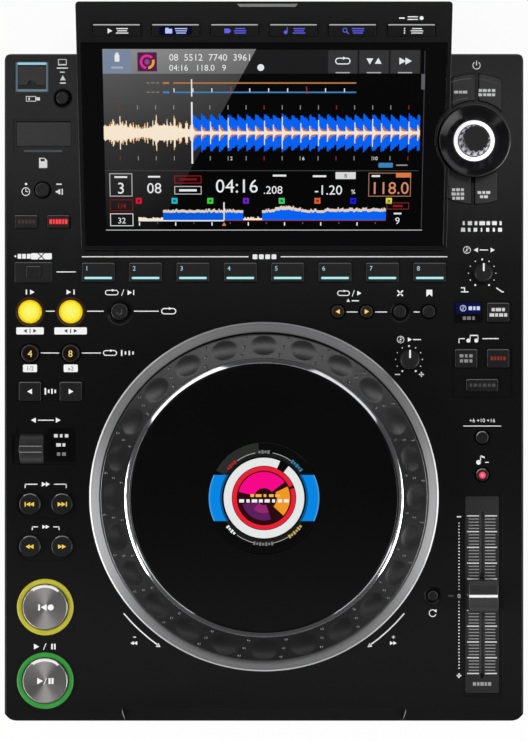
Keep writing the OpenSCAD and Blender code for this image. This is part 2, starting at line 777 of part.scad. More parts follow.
function rounded(w, d, r, steps = 2) = concat(
    corner_arc(w / 2 - r, d / 2 - r, r, 0, steps),
    corner_arc(-w / 2 + r, d / 2 - r, r, 90, steps),
    corner_arc(-w / 2 + r, -d / 2 + r, r, 180, steps),
    corner_arc(w / 2 - r, -d / 2 + r, r, 270, steps));

// Upright block with rounded corners, centred in plan
module slab(w, d, h, r = 1, steps = 2) {
    linear_extrude(h) polygon(rounded(w, d, r, steps));
}

// Block centred in plan, standing on its lower face
module block(w, d, h) {
    translate([-w / 2, -d / 2, 0]) cube([w, d, h]);
}

// Outline in Y and Z carried across the width
module across(w, points) {
    rotate([90, 0, 90]) translate([0, 0, -w / 2]) linear_extrude(w) polygon(points);
}

// Outline in X and Z carried from one Y to another
module along(y0, y1, points) {
    translate([0, y1, 0]) rotate([90, 0, 0]) linear_extrude(y1 - y0) polygon(points);
}

module at(p, z = 0) {
    translate([p[0], p[1], z]) children();
}

// Cylinder along Y from y0 to y1
module rod_y(x, z, y0, y1, r) {
    translate([x, y1, z]) rotate([90, 0, 0]) cylinder(h = y1 - y0, r = r);
}

module tube(r, r_in, h) {
    rotate_extrude() translate([r_in, 0]) square([r - r_in, h]);
}

// Stem under a cap, down to just above its switch
module stem(travel) {
    z = switch_top + travel + pass_gap;
    translate([0, 0, z]) cylinder(h = flange_z - z + eps, r = stem_r);
}

// Round button: a cap through the panel, a flange that the panel holds down, and a stem
module round_button(r, proud, travel) {
    bevel = 0.5;
    translate([0, 0, flange_z]) cylinder(h = flange_t, r = r + flange_lip);
    translate([0, 0, flange_top - eps]) cylinder(h = panel_z + proud - bevel - flange_top + eps, r = r);
    translate([0, 0, panel_z + proud - bevel]) cylinder(h = bevel, r1 = r, r2 = r - bevel);
    stem(travel);
}

// Straight key of the same build
module straight_key(w, d, proud, travel) {
    translate([0, 0, flange_z]) block(w + 2 * flange_lip, d + 2 * flange_lip, flange_t);
    translate([0, 0, flange_top - eps]) slab(w, d, panel_z + proud - flange_top + eps);
    stem(travel);
}

// The part of a corner key's outline, grown by grow, at one side of the selector
module corner_outline(s, t, grow) {
    intersection() {
        difference() {
            circle(r = corner_out_r + grow);
            circle(r = corner_in_r - grow);
        }
        translate([corner_x(s, t) - corner_w / 2 - grow, t > 0 ? 0 : -corner_out_r - 5])
            square([corner_w + 2 * grow, corner_out_r + 5]);
    }
}

// Knob on a shaft that passes through the panel
module shaft_knob(r) {
    bevel = 0.8;
    shaft_z = board_z + 4 + pass_gap;
    at([0, 0], panel_z + pass_gap) cylinder(h = knob_h - bevel, r = r);
    at([0, 0], panel_z + pass_gap + knob_h - bevel) cylinder(h = bevel, r1 = r, r2 = r - bevel);
    at([0, 0], shaft_z) cylinder(h = panel_z + 2 - shaft_z, r = knob_shaft_r);
}

// Lid w by d that lies in a recess and swings on two pins at its rear edge
module pinned_lid(w, d) {
    translate([0, 0, door_axis_z]) rotate([0, 90, 0]) cylinder(h = w, r = door_t / 2, center = true);
    translate([-w / 2, -d + door_t / 2, door_axis_z - door_t / 2]) cube([w, d - door_t / 2, door_t]);
    translate([0, 0, door_axis_z]) rotate([0, 90, 0])
        cylinder(h = w + 2 * (door_pin_l + pass_gap), r = door_pin_r, center = true);
}

// Room in the panel for such a lid, with the bores for its pins and a port w by d under it
module lid_room(w, d, port_w, port_d) {
    room_z = door_axis_z - door_t / 2 - pass_gap;
    translate([-w / 2 - pass_gap, -d - pass_gap + door_t / 2, room_z])
        cube([w + 2 * pass_gap, d + 2 * pass_gap, panel_z]);
    translate([0, 0, door_axis_z]) rotate([0, 90, 0])
        cylinder(h = w + 2 * (door_pin_l + 2 * pass_gap), r = door_pin_r + run_fit, center = true);
    translate([-port_w / 2, -d / 2 - port_d / 2, panel_under - cut]) cube([port_w, port_d, panel_t]);
}

module at_display() {
    translate([0, display_front_y, display_front_z]) rotate([display_tilt, 0, 0]) children();
}

// ---------------------------------------------------------------- body

module top_panel_outside() {
    intersection() {
        across(body_w, [[front_y, split_z], [rear_y, split_z], [rear_y, panel_z - edge_bevel],
            [rear_y - edge_bevel, panel_z], [front_y + front_lean, panel_z]]);
        along(front_y - cut, rear_y + cut, [[left, split_z], [right, split_z],
            [right, panel_z - edge_bevel], [right - edge_bevel, panel_z],
            [left + edge_bevel, panel_z], [left, panel_z - edge_bevel]]);
        translate([0, (front_y + rear_y) / 2, 0]) slab(body_w, body_d, panel_z, corner_r, 4);
    }
}

// Space inside the upper shell, behind a front wall that is thicker in the middle
module top_panel_inside() {
    front_foot = front_y + 1.05 * wall;
    front_top = front_y + front_lean * (panel_under - split_z) / (panel_z - split_z) + 0.9 * wall;
    difference() {
        across(body_w - 2 * wall, [[front_foot, split_z - cut], [rear_y - wall, split_z - cut],
            [rear_y - wall, panel_under], [front_top, panel_under]]);
        across(front_mid_w + 2 * wall, [[front_y - cut, split_z - 2 * cut], [front_foot, split_z - 2 * cut],
            [front_y + front_lean_mid + 0.7 * wall, panel_z], [front_y - cut, panel_z]]);
    }
}

// Deeper slope in the middle of the front face
module front_mid_slope() {
    across(front_mid_w, [[front_y, split_z], [front_y - cut, split_z],
        [front_y - cut, panel_z + cut], [front_y + front_lean_mid, panel_z + cut],
        [front_y + front_lean_mid, panel_z]]);
}

// Cheeks under the panel that carry the direction lever's axle
module lever_cheeks() {
    for (s = [-1, 1])
        at(lever_pos, lever_axle_z - 4)
            translate([s * (lever_w / 2 + pass_gap + lever_cheek_t / 2), 0, 0])
                block(lever_cheek_t, 8, panel_under - lever_axle_z + 4 + eps);
}

module recess(p, w, d, r) {
    at(p, recess_z) slab(w, d, panel_t, r, 4);
}

module top_panel() {
    color(black)
    difference() {
        union() {
            difference() {
                top_panel_outside();
                top_panel_inside();
            }
            for (p = boss_places)
                at(p, floor_top) cylinder(h = panel_under - floor_top + eps, r = boss_r);
            for (p = board_posts)
                at(p, board_z) cylinder(h = panel_under - board_z + eps, r = board_post_r);
            lever_cheeks();
        }
        front_mid_slope();
        for (p = boss_places)
            at(p, floor_top - cut) cylinder(h = screw_bite + 2, r = screw_r + run_fit);
        // Jog wheel, buttons and keys
        at(jog_pos, panel_under - cut) cylinder(h = panel_t + 2 * cut, r = ring_hole_r + run_fit);
        for (b = round_buttons) {
            at(b[0], panel_under - cut) cylinder(h = panel_t + 2 * cut, r = b[1] + key_gap);
            if (b[2] > 0)
                at(b[0], recess_z) cylinder(h = recess_depth + eps, r1 = b[1] + key_gap, r2 = b[2]);
        }
        for (k = straight_keys)
            at(k[0], panel_under - cut)
                slab(k[1] + 2 * key_gap, k[2] + 2 * key_gap, panel_t + 2 * cut, 1 + key_gap);
        for (p = [play_pos, cue_pos])
            at(p, panel_under - cut) cylinder(h = panel_t + 2 * cut, r = light_r + run_fit);
        for (p = knob_places)
            at(p, panel_under - cut) cylinder(h = panel_t + 2 * cut, r = knob_shaft_r + pass_gap);
        at(selector_pos, panel_under - cut)
            cylinder(h = panel_t + 2 * cut, r = selector_shaft_r + pass_gap);
        for (c = corner_signs)
            at(corners_pos, panel_under - cut)
                linear_extrude(panel_t + 2 * cut) corner_outline(c[0], c[1], key_gap);
        // Recesses
        for (y = [row_search, row_track])
            recess([pair_x, front_y + y], search_recess_w, search_recess_d, search_recess_d / 2 - 0.4);
        recess([col_right, front_y + row_mode], mode_recess_w, mode_recess_d, 1);
        recess([col_right, front_y + row_sync_recess], mode_recess_w, sync_recess_d, 1);
        recess([left + lever_plate_x, front_y + row_lever_plate], lever_plate_w, lever_plate_d, 1.5);
        recess([stick_pos[0], rear_y - rear_stick_frame], stick_frame_w, stick_frame_d, 1);
        recess([card_pos[0], rear_y - rear_card_frame], card_frame_w, card_frame_d, 1);
        // Tempo slider
        recess(slider_pos, slider_recess_w, slider_recess_d, 1.5);
        at(slider_pos, panel_under + slider_plate_t)
            slab(slider_plate_w + 2 * pass_gap, slider_plate_d + 2 * pass_gap, panel_t, 1);
        at(slider_pos, panel_under - cut)
            block(slot_w + 1, 2 * slider_travel + slider_stem_d + 2, panel_t);
        // Direction lever
        at(lever_pos, panel_under - cut) block(lever_w + 2 * pass_gap, 2 * lever_r - 2, panel_t + 2 * cut);
        at(lever_pos, lever_axle_z) rotate([0, 90, 0])
            cylinder(h = lever_w + 4 * lever_cheek_t, r = lever_r + pass_gap, center = true);
        // Ports
        at([stick_pos[0], stick_pos[1] + stick_flap_d / 2])
            lid_room(stick_flap_w, stick_flap_d, stick_port[0], stick_port[1]);
        at([card_pos[0], card_pos[1] + card_door_d / 2])
            lid_room(card_door_w, card_door_d, card_port[0], card_port[1]);
        // Display cable and screws
        at([0, cable_hole_y], panel_under - cut) cylinder(h = panel_t + 2 * cut, r = cable_hole_r);
        for (p = display_bosses)
            at(p, panel_under - cut) cylinder(h = panel_t + 2 * cut, r = screw_r + pass_gap);
        // Window for the rear sockets
        translate([left + window_margin, rear_y - wall - cut, window_z])
            cube([body_w - 2 * window_margin, wall + 2 * cut, window_top - window_z]);
    }
}

module bottom_case() {
    w = body_w - 2 * case_inset;
    d = body_d - 2 * case_inset;
    color(key_black)
    difference() {
        translate([0, (front_y + rear_y) / 2, foot_h]) slab(w, d, split_z - foot_h, corner_r, 4);
        translate([0, (front_y + rear_y) / 2, floor_top]) block(w - 2 * wall, d - 2 * wall, split_z);
        for (p = boss_places)
            at(p, foot_h - cut) cylinder(h = floor_t + 2 * cut, r = screw_r + pass_gap);
    }
    color(key_black)
    for (p = case_posts)
        at(p, floor_top - eps) cylinder(h = post_h + eps, r = case_post_r);
}

module rubber_feet() {
    color([0.05, 0.05, 0.05])
    for (p = foot_places)
        at(p) {
            cylinder(h = 1, r1 = foot_r - 1, r2 = foot_r);
            translate([0, 0, 1]) cylinder(h = foot_h - 1, r = foot_r);
        }
}

module screw(length) {
    translate([0, 0, -screw_head_h]) cylinder(h = screw_head_h, r = screw_head_r);
    translate([0, 0, -eps]) cylinder(h = length + eps, r = screw_r);
}

module case_screws() {
    color(steel) {
        for (p = boss_places)
            at(p, foot_h) screw(floor_t + screw_bite);
        for (p = display_bosses)
            at(p, panel_under) screw(panel_t + display_boss_h - 1);
    }
}

// ---------------------------------------------------------------- rear sockets and power button

module rear_panel() {
    z0 = split_z + 1;
    color(black)
    difference() {
        translate([left + window_margin - 4, rear_plate_y, z0])
            cube([body_w - 2 * window_margin + 8, rear_plate_t, panel_under - z0]);
        translate([inlet_x - inlet_w / 2 - pass_gap, rear_plate_y - cut, socket_z - inlet_h / 2 - pass_gap])
            cube([inlet_w + 2 * pass_gap, rear_plate_t + 2 * cut, inlet_h + 2 * pass_gap]);
        translate([net_x - net_w / 2 - pass_gap, rear_plate_y - cut, socket_z - net_h / 2 - pass_gap])
            cube([net_w + 2 * pass_gap, rear_plate_t + 2 * cut, net_h + 2 * pass_gap]);
        translate([data_x - data_w / 2 - pass_gap, rear_plate_y - cut, socket_z - data_h / 2 - pass_gap])
            cube([data_w + 2 * pass_gap, rear_plate_t + 2 * cut, data_h + 2 * pass_gap]);
        for (x = phono_places)
            rod_y(x, socket_z, rear_plate_y - cut, rear_face_y + cut, phono_r + phono_collar + run_fit);
        rod_y(power_pos[0], power_pos[1], rear_plate_y - cut, rear_face_y + cut, power_r + key_gap);
    }
}

// Mains inlet: a shell with a lip outside the plate, and three blades
module mains_inlet() {
    shell = 2;
    difference() {
        union() {
            translate([-inlet_w / 2, -inlet_l, -inlet_h / 2]) cube([inlet_w, inlet_l + eps, inlet_h]);
            translate([-inlet_w / 2 - 1.5, 0, -inlet_h / 2 - 1.5])
                cube([inlet_w + 3, rear_flange_t, inlet_h + 3]);
        }
        translate([-inlet_w / 2 + shell, -inlet_l + shell, -inlet_h / 2 + shell])
            cube([inlet_w - 2 * shell, inlet_l + 5, inlet_h - 2 * shell]);
    }
    for (x = [-7, 0, 7])
        translate([x - 1, -inlet_l + shell - eps, x == 0 ? 1 : -5]) cube([2, 14, 4]);
}

// Boxed socket with a lip behind the plate
module boxed_socket(w, h, l, shell, depth) {
    difference() {
        union() {
            translate([-w / 2, -l, -h / 2]) cube([w, l + rear_plate_t, h]);
            translate([-w / 2 - 1.5, -1.2, -h / 2 - 1.5]) cube([w + 3, 1.2, h + 3]);
        }
        translate([-w / 2 + shell, rear_plate_t - depth, -h / 2 + shell])
            cube([w - 2 * shell, depth + cut, h - 2 * shell]);
    }
}

module phono_socket() {
    difference() {
        union() {
            rod_y(0, 0, -6, 0, phono_r + 2);
            rod_y(0, 0, -eps, rear_plate_t, phono_r + phono_collar);
            rod_y(0, 0, rear_plate_t - eps, rear_plate_t + phono_l, phono_r);
        }
        rod_y(0, 0, rear_plate_t, rear_plate_t + phono_l + cut, phono_r - 2.4);
    }
}

module rear_sockets() {
    color(key_black) {
        translate([inlet_x, rear_face_y, socket_z]) mains_inlet();
        translate([data_x, rear_plate_y, socket_z]) {
            boxed_socket(data_w, data_h, data_l, 1.5, 11);
            translate([-2.8, rear_plate_t - 11 - eps, -1.5]) cube([5.6, 9, 3]);
        }
        for (x = phono_places)
            translate([x, rear_plate_y, socket_z]) phono_socket();
        // Switch body behind the power button, on a bracket of the plate
        translate([power_pos[0] - 6, rear_plate_y - 16, power_pos[1] - 6]) cube([12, 8, 12]);
        translate([power_pos[0] + 7, rear_plate_y - 16, power_pos[1] - 6]) cube([1.5, 16, 12]);
        translate([power_pos[0] + 6 - eps, rear_plate_y - 16, power_pos[1] - 6]) cube([1 + 2 * eps, 8, 12]);
    }
}

module network_socket() {
    color(steel) translate([net_x, rear_plate_y, socket_z]) boxed_socket(net_w, net_h, net_l, 1.5, 13);
}

module power_switch() {
    y0 = rear_plate_y - 8 + power_travel + pass_gap;
    flange_y = rear_plate_y - seat_gap;
    color(key_black) {
        rod_y(power_pos[0], power_pos[1], flange_y - eps, rear_face_y + 1.5, power_r);
        rod_y(power_pos[0], power_pos[1], flange_y - 1.2, flange_y, power_r + flange_lip);
        rod_y(power_pos[0], power_pos[1], y0, flange_y - 1.2 + eps, 2);
    }
}

// ---------------------------------------------------------------- boards

// Board of the given size with what stands on it
module loaded_board(size, parts) {
    block(size[0], size[1], board_t);
    for (p = parts)
        translate([p[0], p[1], board_t - eps]) block(p[2], p[3], p[4] + eps);
}

module power_supply() {
    color(board_green) at(supply_pos, board_bed_z) {
        loaded_board(supply_size, supply_parts);
        translate([supply_can[0], supply_can[1], board_t - eps])
            cylinder(h = supply_can[3] + eps, r = supply_can[2]);
    }
}

// Main board, and button boards with a switch under every stem and a potentiometer under every knob
module circuit_boards() {
    color(board_green) at(main_board_pos, board_bed_z) loaded_board(main_board_size, main_board_parts);
    color(board_green)
    difference() {
        union() {
            for (b = board_rects)
                translate([b[0], b[1], board_z - board_t]) cube([b[2] - b[0], b[3] - b[1], board_t]);
            for (p = switch_places)
                at(p, board_z - eps) block(switch_w, switch_w, switch_h + eps);
            for (p = knob_places)
                at(p, board_z - eps) block(11, 10, 4 + eps);
        }
        // Room for the lever's drum
        at(lever_pos, lever_axle_z) rotate([0, 90, 0])
            cylinder(h = lever_w + 2, r = lever_r + pass_gap, center = true);
    }
}

// Socket under a port, with its mouth against the panel
module media_socket(p, size, mouth) {
    at(p, panel_under - size[2]) difference() {
        block(size[0], size[1], size[2]);
        translate([0, 0, size[2] - mouth[2]]) block(mouth[0], mouth[1], mouth[2] + cut);
    }
}

// Stick and card sockets, the first with its tongue
module media_sockets() {
    color(steel) {
        media_socket(stick_pos, stick_socket, stick_mouth);
        at(stick_pos + [0, stick_tongue_shift], panel_under - stick_mouth[2] - eps)
            block(stick_tongue[0], stick_tongue[1], stick_tongue[2] + eps);
        media_socket(card_pos, card_socket, card_mouth);
    }
}

// ---------------------------------------------------------------- display

// Whole housing of the display: a wedge with a straight rear face over a narrower foot
module display_envelope() {
    intersection() {
        across(display_w, [[display_front_y, panel_z], [neck_y, panel_z], [neck_y, neck_z],
            [display_rear_y, display_under_z], [display_rear_y, display_top_z],
            [display_front_y, display_front_z]]);
        translate([0, display_front_y + display_depth / 2, 0])
            slab(display_w, display_depth, display_top_z + cut, display_corner_r, 3);
    }
}

// Round notch for the browse selector in the display's side, widened by grow
module selector_notch(grow) {
    at(selector_pos, panel_z - cut)
        cylinder(h = display_top_z - panel_z + 2 * cut, r = dish_r + notch_gap + grow);
}

// Everything above the plane at height z of the display frame
module above_slope(z) {
    at_display() translate([-display_w, -display_len, z]) cube([2 * display_w, 3 * display_len, 90]);
}

module display_back_shell() {
    color(black) {
        difference() {
            display_envelope();
            above_slope(-bezel_t);
            selector_notch(0);
            difference() {
                across(display_w - 2 * shell_t, [[display_front_y + shell_t, panel_z + shell_t],
                    [neck_y - shell_t, panel_z + shell_t], [neck_y - shell_t, neck_z + 0.6 * shell_t],
                    [display_rear_y - shell_t, display_under_z + 0.6 * shell_t],
                    [display_rear_y - shell_t, display_top_z + cut],
                    [display_front_y + shell_t, display_top_z + cut]]);
                selector_notch(shell_t);
            }
            at([0, cable_hole_y], panel_z - cut) cylinder(h = shell_t + 2 * cut, r = cable_hole_r);
            for (p = display_bosses)
                at(p, panel_z - cut) cylinder(h = shell_t + 2 * cut, r = screw_r + run_fit);
        }
        for (p = display_bosses)
            at(p, panel_z + shell_t - eps) tube(display_boss_r, screw_r + run_fit, display_boss_h - shell_t);
    }
}

module display_key_places() {
    for (i = [0:display_keys_n - 1])
        translate([(i - (display_keys_n - 1) / 2) * display_key_pitch, display_len - display_key_rear, 0])
            children();
}

module display_bezel() {
    color(black)
    difference() {
        intersection() {
            display_envelope();
            above_slope(-bezel_t);
        }
        selector_notch(0);
        difference() {
            at_display() translate([0, bezel_rim + glass_d / 2, -pocket_depth])
                slab(glass_w + 2 * glass_gap, glass_d + 2 * glass_gap, bezel_t, 1);
            selector_notch(notch_rim);
        }
        at_display() {
            translate([0, screen_front + screen_d / 2, -bezel_t - cut])
                block(screen_w + 2, screen_d + 2, bezel_t + cut);
            display_key_places() translate([0, 0, -bezel_t - cut])
                slab(display_key_w + 2 * key_gap, display_key_d + 2 * key_gap, bezel_t + 2 * cut, 1);
        }
    }
}

module display_glass() {
    color([0.02, 0.02, 0.03])
    difference() {
        at_display() translate([0, bezel_rim + glass_d / 2, -pocket_depth])
            slab(glass_w, glass_d, glass_t, 1);
        selector_notch(notch_rim + glass_gap);
    }
}

module display_module() {
    color(steel)
    at_display() translate([0, screen_front + screen_d / 2, -bezel_t - module_t]) {
        block(screen_w + 2 * module_margin, screen_d + 2 * module_margin, module_t);
        translate([0, controller_shift, -controller_size[2]])
            block(controller_size[0], controller_size[1], controller_size[2] + eps);
    }
}

module display_keys() {
    color(key_black)
    at_display() display_key_places() {
        translate([0, 0, -bezel_t - seat_gap - 1])
            block(display_key_w + 2 * flange_lip, display_key_d + 2 * flange_lip, 1);
        translate([0, 0, -bezel_t - seat_gap - eps])
            slab(display_key_w, display_key_d, bezel_t + seat_gap + display_key_proud + eps, 0.8);
    }
}

// ---------------------------------------------------------------- jog wheel

module jog_surround_ring() {
    top = panel_z + ring_h;
    color(steel) at(jog_pos) rotate_extrude(convexity = 4)
        polygon([[ring_in_r, panel_under], [ring_hole_r, panel_under], [ring_hole_r, panel_z],
            [ring_r, panel_z], [ring_r, top - ring_bevel], [ring_r - ring_bevel, top],
            [ring_in_r, top - 0.6]]);
}

module jog_spindle() {
    foot_top = floor_top + spindle_foot_h;
    shoulder_r = spindle_r + 3;
    color(steel) at(jog_pos) rotate_extrude(convexity = 4)
        polygon([[spindle_bore_r, floor_top], [spindle_foot_r, floor_top], [spindle_foot_r, foot_top],
            [shoulder_r, foot_top], [shoulder_r, hub_z], [spindle_r, hub_z],
            [spindle_r, jog_display_z], [spindle_bore_r, jog_display_z]]);
}

module jog_bearing() {
    color(steel) at(jog_pos, hub_z) tube(bearing_r, spindle_r + run_fit, bearing_h);
}

module jog_display() {
    color([0.03, 0.03, 0.04]) at(jog_pos, jog_display_z) {
        cylinder(h = jog_display_t - 0.4, r = hub_window_r);
        translate([0, 0, jog_display_t - 0.4 - eps])
            cylinder(h = 0.4 + eps, r1 = hub_window_r, r2 = hub_window_r - 0.4);
    }
}

// Rubber faced dial: hub, web and rim in one piece, with dimples in its top
module jog_dial() {
    web_top = dial_web_z + dial_web_t;
    flat_r = dial_r - dial_slope_w;
    color([0.18, 0.18, 0.19]) at(jog_pos) difference() {
        rotate_extrude(convexity = 6)
            polygon([[bearing_r + run_fit, hub_z], [bearing_r + hub_wall, hub_z],
                [bearing_r + hub_wall, dial_web_z], [dial_r - dial_rim_t, dial_web_z],
                [dial_r - dial_rim_t, dial_rim_z], [dial_r, dial_rim_z], [dial_r, trim_seat_z],
                [flat_r, dial_top_z - 0.5], [trim_r, dial_top_z], [trim_r, trim_seat_z],
                [trim_in_r, trim_seat_z], [trim_in_r, web_top], [bearing_r + run_fit, web_top]]);
        for (i = [0:dimples - 1])
            rotate([0, 0, 90 + i * 360 / dimples])
                translate([dimple_ring_r, 0, dial_top_z - dimple_depth - 0.25 + dimple_ball_r])
                    sphere(r = dimple_ball_r);
    }
}

module jog_trim_ring() {
    top = panel_z + trim_h;
    outer = trim_r - run_fit;
    color([0.85, 0.85, 0.87]) at(jog_pos) rotate_extrude(convexity = 4)
        polygon([[trim_in_r, trim_seat_z], [outer, trim_seat_z], [outer, top - 1],
            [outer - 1, top], [trim_in_r + 0.6, top], [trim_in_r, top - 0.6]]);
}

// Top plate of the wheel, with the rib that presses on its springs
module jog_plate() {
    inner = hub_window_r + plate_gap;
    outer = trim_in_r - plate_gap;
    rib_z = dial_web_z + dial_web_t + plate_travel + 0.2;
    color([0.04, 0.04, 0.045]) at(jog_pos) rotate_extrude(convexity = 4)
        polygon([[inner, plate_z], [plate_rib_r, plate_z], [plate_rib_r, rib_z],
            [plate_rib_r + plate_rib_t, rib_z], [plate_rib_r + plate_rib_t, plate_z],
            [outer, plate_z], [outer, plate_top_z - 0.5], [outer - 0.5, plate_top_z],
            [inner, plate_top_z]]);
}

// ---------------------------------------------------------------- left column

// Light rings of the cue and play buttons, held by a foot under the panel, and the selector's
module light_rings() {
    foot_z = panel_under - light_foot_t;
    color([0.7, 0.68, 0.2]) {
        for (p = [cue_pos, play_pos])
            at(p) rotate_extrude(convexity = 4)
                polygon([[light_in_r, foot_z], [light_r + light_foot_lip, foot_z],
                    [light_r + light_foot_lip, panel_under], [light_r, panel_under],
                    [light_r, panel_z + light_proud - 0.4], [light_r - 0.4, panel_z + light_proud],
                    [light_in_r, panel_z + light_proud]]);
        at(selector_pos, panel_z + dish_seat_z) tube(dish_light_r, selector_r + 0.5, 0.7);
    }
}

// Metal button inside a light ring
module ringed_button() {
    top = panel_z + play_proud;
    foot_top = panel_under - light_foot_t - seat_gap;
    color([0.6, 0.58, 0.55]) {
        translate([0, 0, foot_top - flange_t]) cylinder(h = flange_t, r = light_in_r + flange_lip);
        translate([0, 0, foot_top - eps]) cylinder(h = top - 0.6 - foot_top + eps, r = play_r);
        translate([0, 0, top - 0.6]) cylinder(h = 0.6, r1 = play_r, r2 = play_r - 0.6);
        translate([0, 0, switch_top + play_travel + pass_gap])
            cylinder(h = foot_top - flange_t - switch_top - play_travel - pass_gap + eps, r = 3);
    }
}

module cue_button() {
    at(cue_pos) ringed_button();
}

module play_button() {
    at(play_pos) ringed_button();
}

module search_buttons() {
    color(key_black)
    for (p = search_pos)
        at(p) round_button(search_r, button_proud, button_travel);
}

module track_search_buttons() {
    color(key_black)
    for (p = track_pos)
        at(p) round_button(search_r, button_proud, button_travel);
}

// Three position lever: a drum on an axle, with a ridge for the finger
module direction_lever() {
    color(key_black) at(lever_pos, lever_axle_z) {
        difference() {
            union() {
                rotate([0, 90, 0]) cylinder(h = lever_w, r = lever_r, center = true);
                translate([-lever_w / 2, -2.2, 0]) cube([lever_w, 4.4, lever_r + lever_ridge]);
            }
            translate([-lever_w, -lever_r - cut, -lever_r - cut])
                cube([2 * lever_w, 2 * lever_r + 2 * cut, lever_r + cut - lever_bottom_drop]);
        }
        rotate([0, 90, 0])
            cylinder(h = lever_w + 2 * (lever_cheek_t + pass_gap) - 0.4, r = lever_axle_r, center = true);
    }
}

module beat_jump_keys() {
    color(key_black)
    for (p = jump_pos)
        at(p) straight_key(square_w, jump_d, key_proud, button_travel);
}

module beat_loop_buttons() {
    color(key_black)
    for (p = beat_pos)
        at(p) round_button(beat_r, button_proud, button_travel);
}

module loop_in_button() {
    color([1, 0.93, 0.2]) at(loop_in_pos) round_button(loop_r, button_proud, button_travel);
}

module loop_out_button() {
    color([1, 0.93, 0.2]) at(loop_out_pos) round_button(loop_r, button_proud, button_travel);
}

module reloop_button() {
    color(key_black) at(reloop_pos) difference() {
        round_button(reloop_r, button_proud, button_travel);
        translate([0, 0, panel_z + button_proud + 3.6]) sphere(r = 4.2);
    }
}

// Bank key with its raised square
module bank_key() {
    color(key_black) at(bank_pos) {
        straight_key(bank_w, bank_d, 0.4, button_travel);
        translate([0, 0.4, panel_z + 0.4 - eps]) slab(8.8, 7.2, 1 + eps, 0.6);
    }
}

module slip_and_quantize_keys() {
    color(key_black)
    for (p = slip_pos)
        at(p) straight_key(slip_w, slip_d, key_proud, button_travel);
}

module time_mode_button() {
    color(key_black) at(time_pos) round_button(time_r, button_proud, button_travel);
}

module card_door() {
    color(key_black) at([card_pos[0], card_pos[1] + card_door_d / 2]) pinned_lid(card_door_w, card_door_d);
}

// Stick flap with a half round finger notch in its front edge
module stick_flap() {
    color(key_black) at([stick_pos[0], stick_pos[1] + stick_flap_d / 2]) difference() {
        pinned_lid(stick_flap_w, stick_flap_d);
        translate([0, -stick_flap_d + door_t / 2, door_axis_z - door_t]) cylinder(h = 2 * door_t, r = 3);
    }
}

module stick_stop_button() {
    color(key_black) at(stop_pos) round_button(small_r, button_proud, button_travel);
}

// ---------------------------------------------------------------- middle and right

module hot_cue_pads() {
    color([0.25, 0.28, 0.3])
    for (p = pad_pos)
        at(p) straight_key(pad_w, pad_d, key_proud, button_travel);
}

module cue_call_buttons() {
    color(key_black)
    for (p = call_pos)
        at(p) round_button(small_r, button_proud, button_travel);
}

module delete_button() {
    color(key_black) at(delete_pos) round_button(small_r, button_proud, button_travel);
}

module memory_button() {
    color(key_black) at(memory_pos) round_button(small_r, button_proud, button_travel);
}

module jog_feel_knob() {
    color(key_black) at(feel_pos) shaft_knob(feel_r);
}

module speed_knob() {
    color(key_black) at(speed_pos) shaft_knob(speed_r);
}

module jog_mode_key() {
    color(key_black) at(mode_pos) straight_key(square_w, mode_d, 0.4, button_travel);
}

module beat_sync_key() {
    color(key_black) at(sync_pos) straight_key(square_w, sync_d, 0.4, button_travel);
}

module master_key() {
    color(key_black) at(master_pos) straight_key(square_w, sync_d, 0.4, button_travel);
}

module key_sync_key() {
    color(key_black) at(key_sync_pos) straight_key(key_sync_w, key_sync_d, 0.4, button_travel);
}

// Raised dish round the selector on a hollow pedestal, with the seat of its light ring
module selector_dish() {
    seat_r = dish_light_r + 0.4;
    seat_z = dish_seat_z;
    bore_r = selector_shaft_r + pass_gap;
    foot_r = dish_r - dish_foot_in;
    color(key_black) at(selector_pos, panel_z) rotate_extrude(convexity = 6)
        polygon([[foot_r - dish_t, 0], [foot_r, 0], [foot_r, dish_h - 2 - dish_foot_in],
            [dish_r, dish_h - 2], [dish_r, dish_h - 0.6],
            [dish_r - 0.8, dish_h], [seat_r, dish_h - dish_depth], [seat_r, seat_z], [bore_r, seat_z],
            [bore_r, 0], [bore_r + dish_t, 0], [bore_r + dish_t, seat_z - dish_t],
            [foot_r - dish_t, seat_z - dish_t]]);
}

module selector_shaft() {
    z0 = switch_top + selector_travel + pass_gap;
    color(steel) at(selector_pos) {
        translate([0, 0, z0]) cylinder(h = selector_seat_z - z0, r = selector_shaft_r);
        translate([0, 0, flange_z]) cylinder(h = flange_t, r = selector_shaft_r + 1.5);
    }
}

// Browse knob on the shaft's end, with grip flutes
module selector_knob() {
    z0 = panel_z + dish_h - dish_depth + selector_travel;
    bevel = 1;
    flutes = 14;
    color([0.3, 0.3, 0.32]) at(selector_pos, z0) difference() {
        union() {
            cylinder(h = selector_h - bevel, r = selector_r);
            translate([0, 0, selector_h - bevel])
                cylinder(h = bevel, r1 = selector_r, r2 = selector_r - bevel);
        }
        translate([0, 0, -cut])
            cylinder(h = selector_seat_z + pass_gap - z0 + cut, r = selector_shaft_r + run_fit);
        for (i = [0:flutes - 1])
            rotate([0, 0, i * 360 / flutes])
                translate([selector_r + 0.6, 0, 2]) cylinder(h = selector_h, r = 1.3);
    }
}

module corner_keys() {
    color(key_black)
    for (c = corner_signs) {
        at(corners_pos, flange_z) linear_extrude(flange_t) corner_outline(c[0], c[1], flange_lip);
        at(corners_pos, flange_top - eps)
            linear_extrude(panel_z + key_proud - flange_top + eps) corner_outline(c[0], c[1], 0);
        at(corner_stem(c[0], c[1])) stem(button_travel);
    }
}

module tempo_range_button() {
    color(key_black) at(range_pos) round_button(small_r, button_proud, button_travel);
}

module master_tempo_button() {
    color(key_black) at(master_tempo_pos) round_button(small_r, button_proud, button_travel);
}

module tempo_reset_button() {
    color(key_black) at(reset_pos) round_button(reset_r, button_proud, button_travel);
}

// ---------------------------------------------------------------- tempo slider

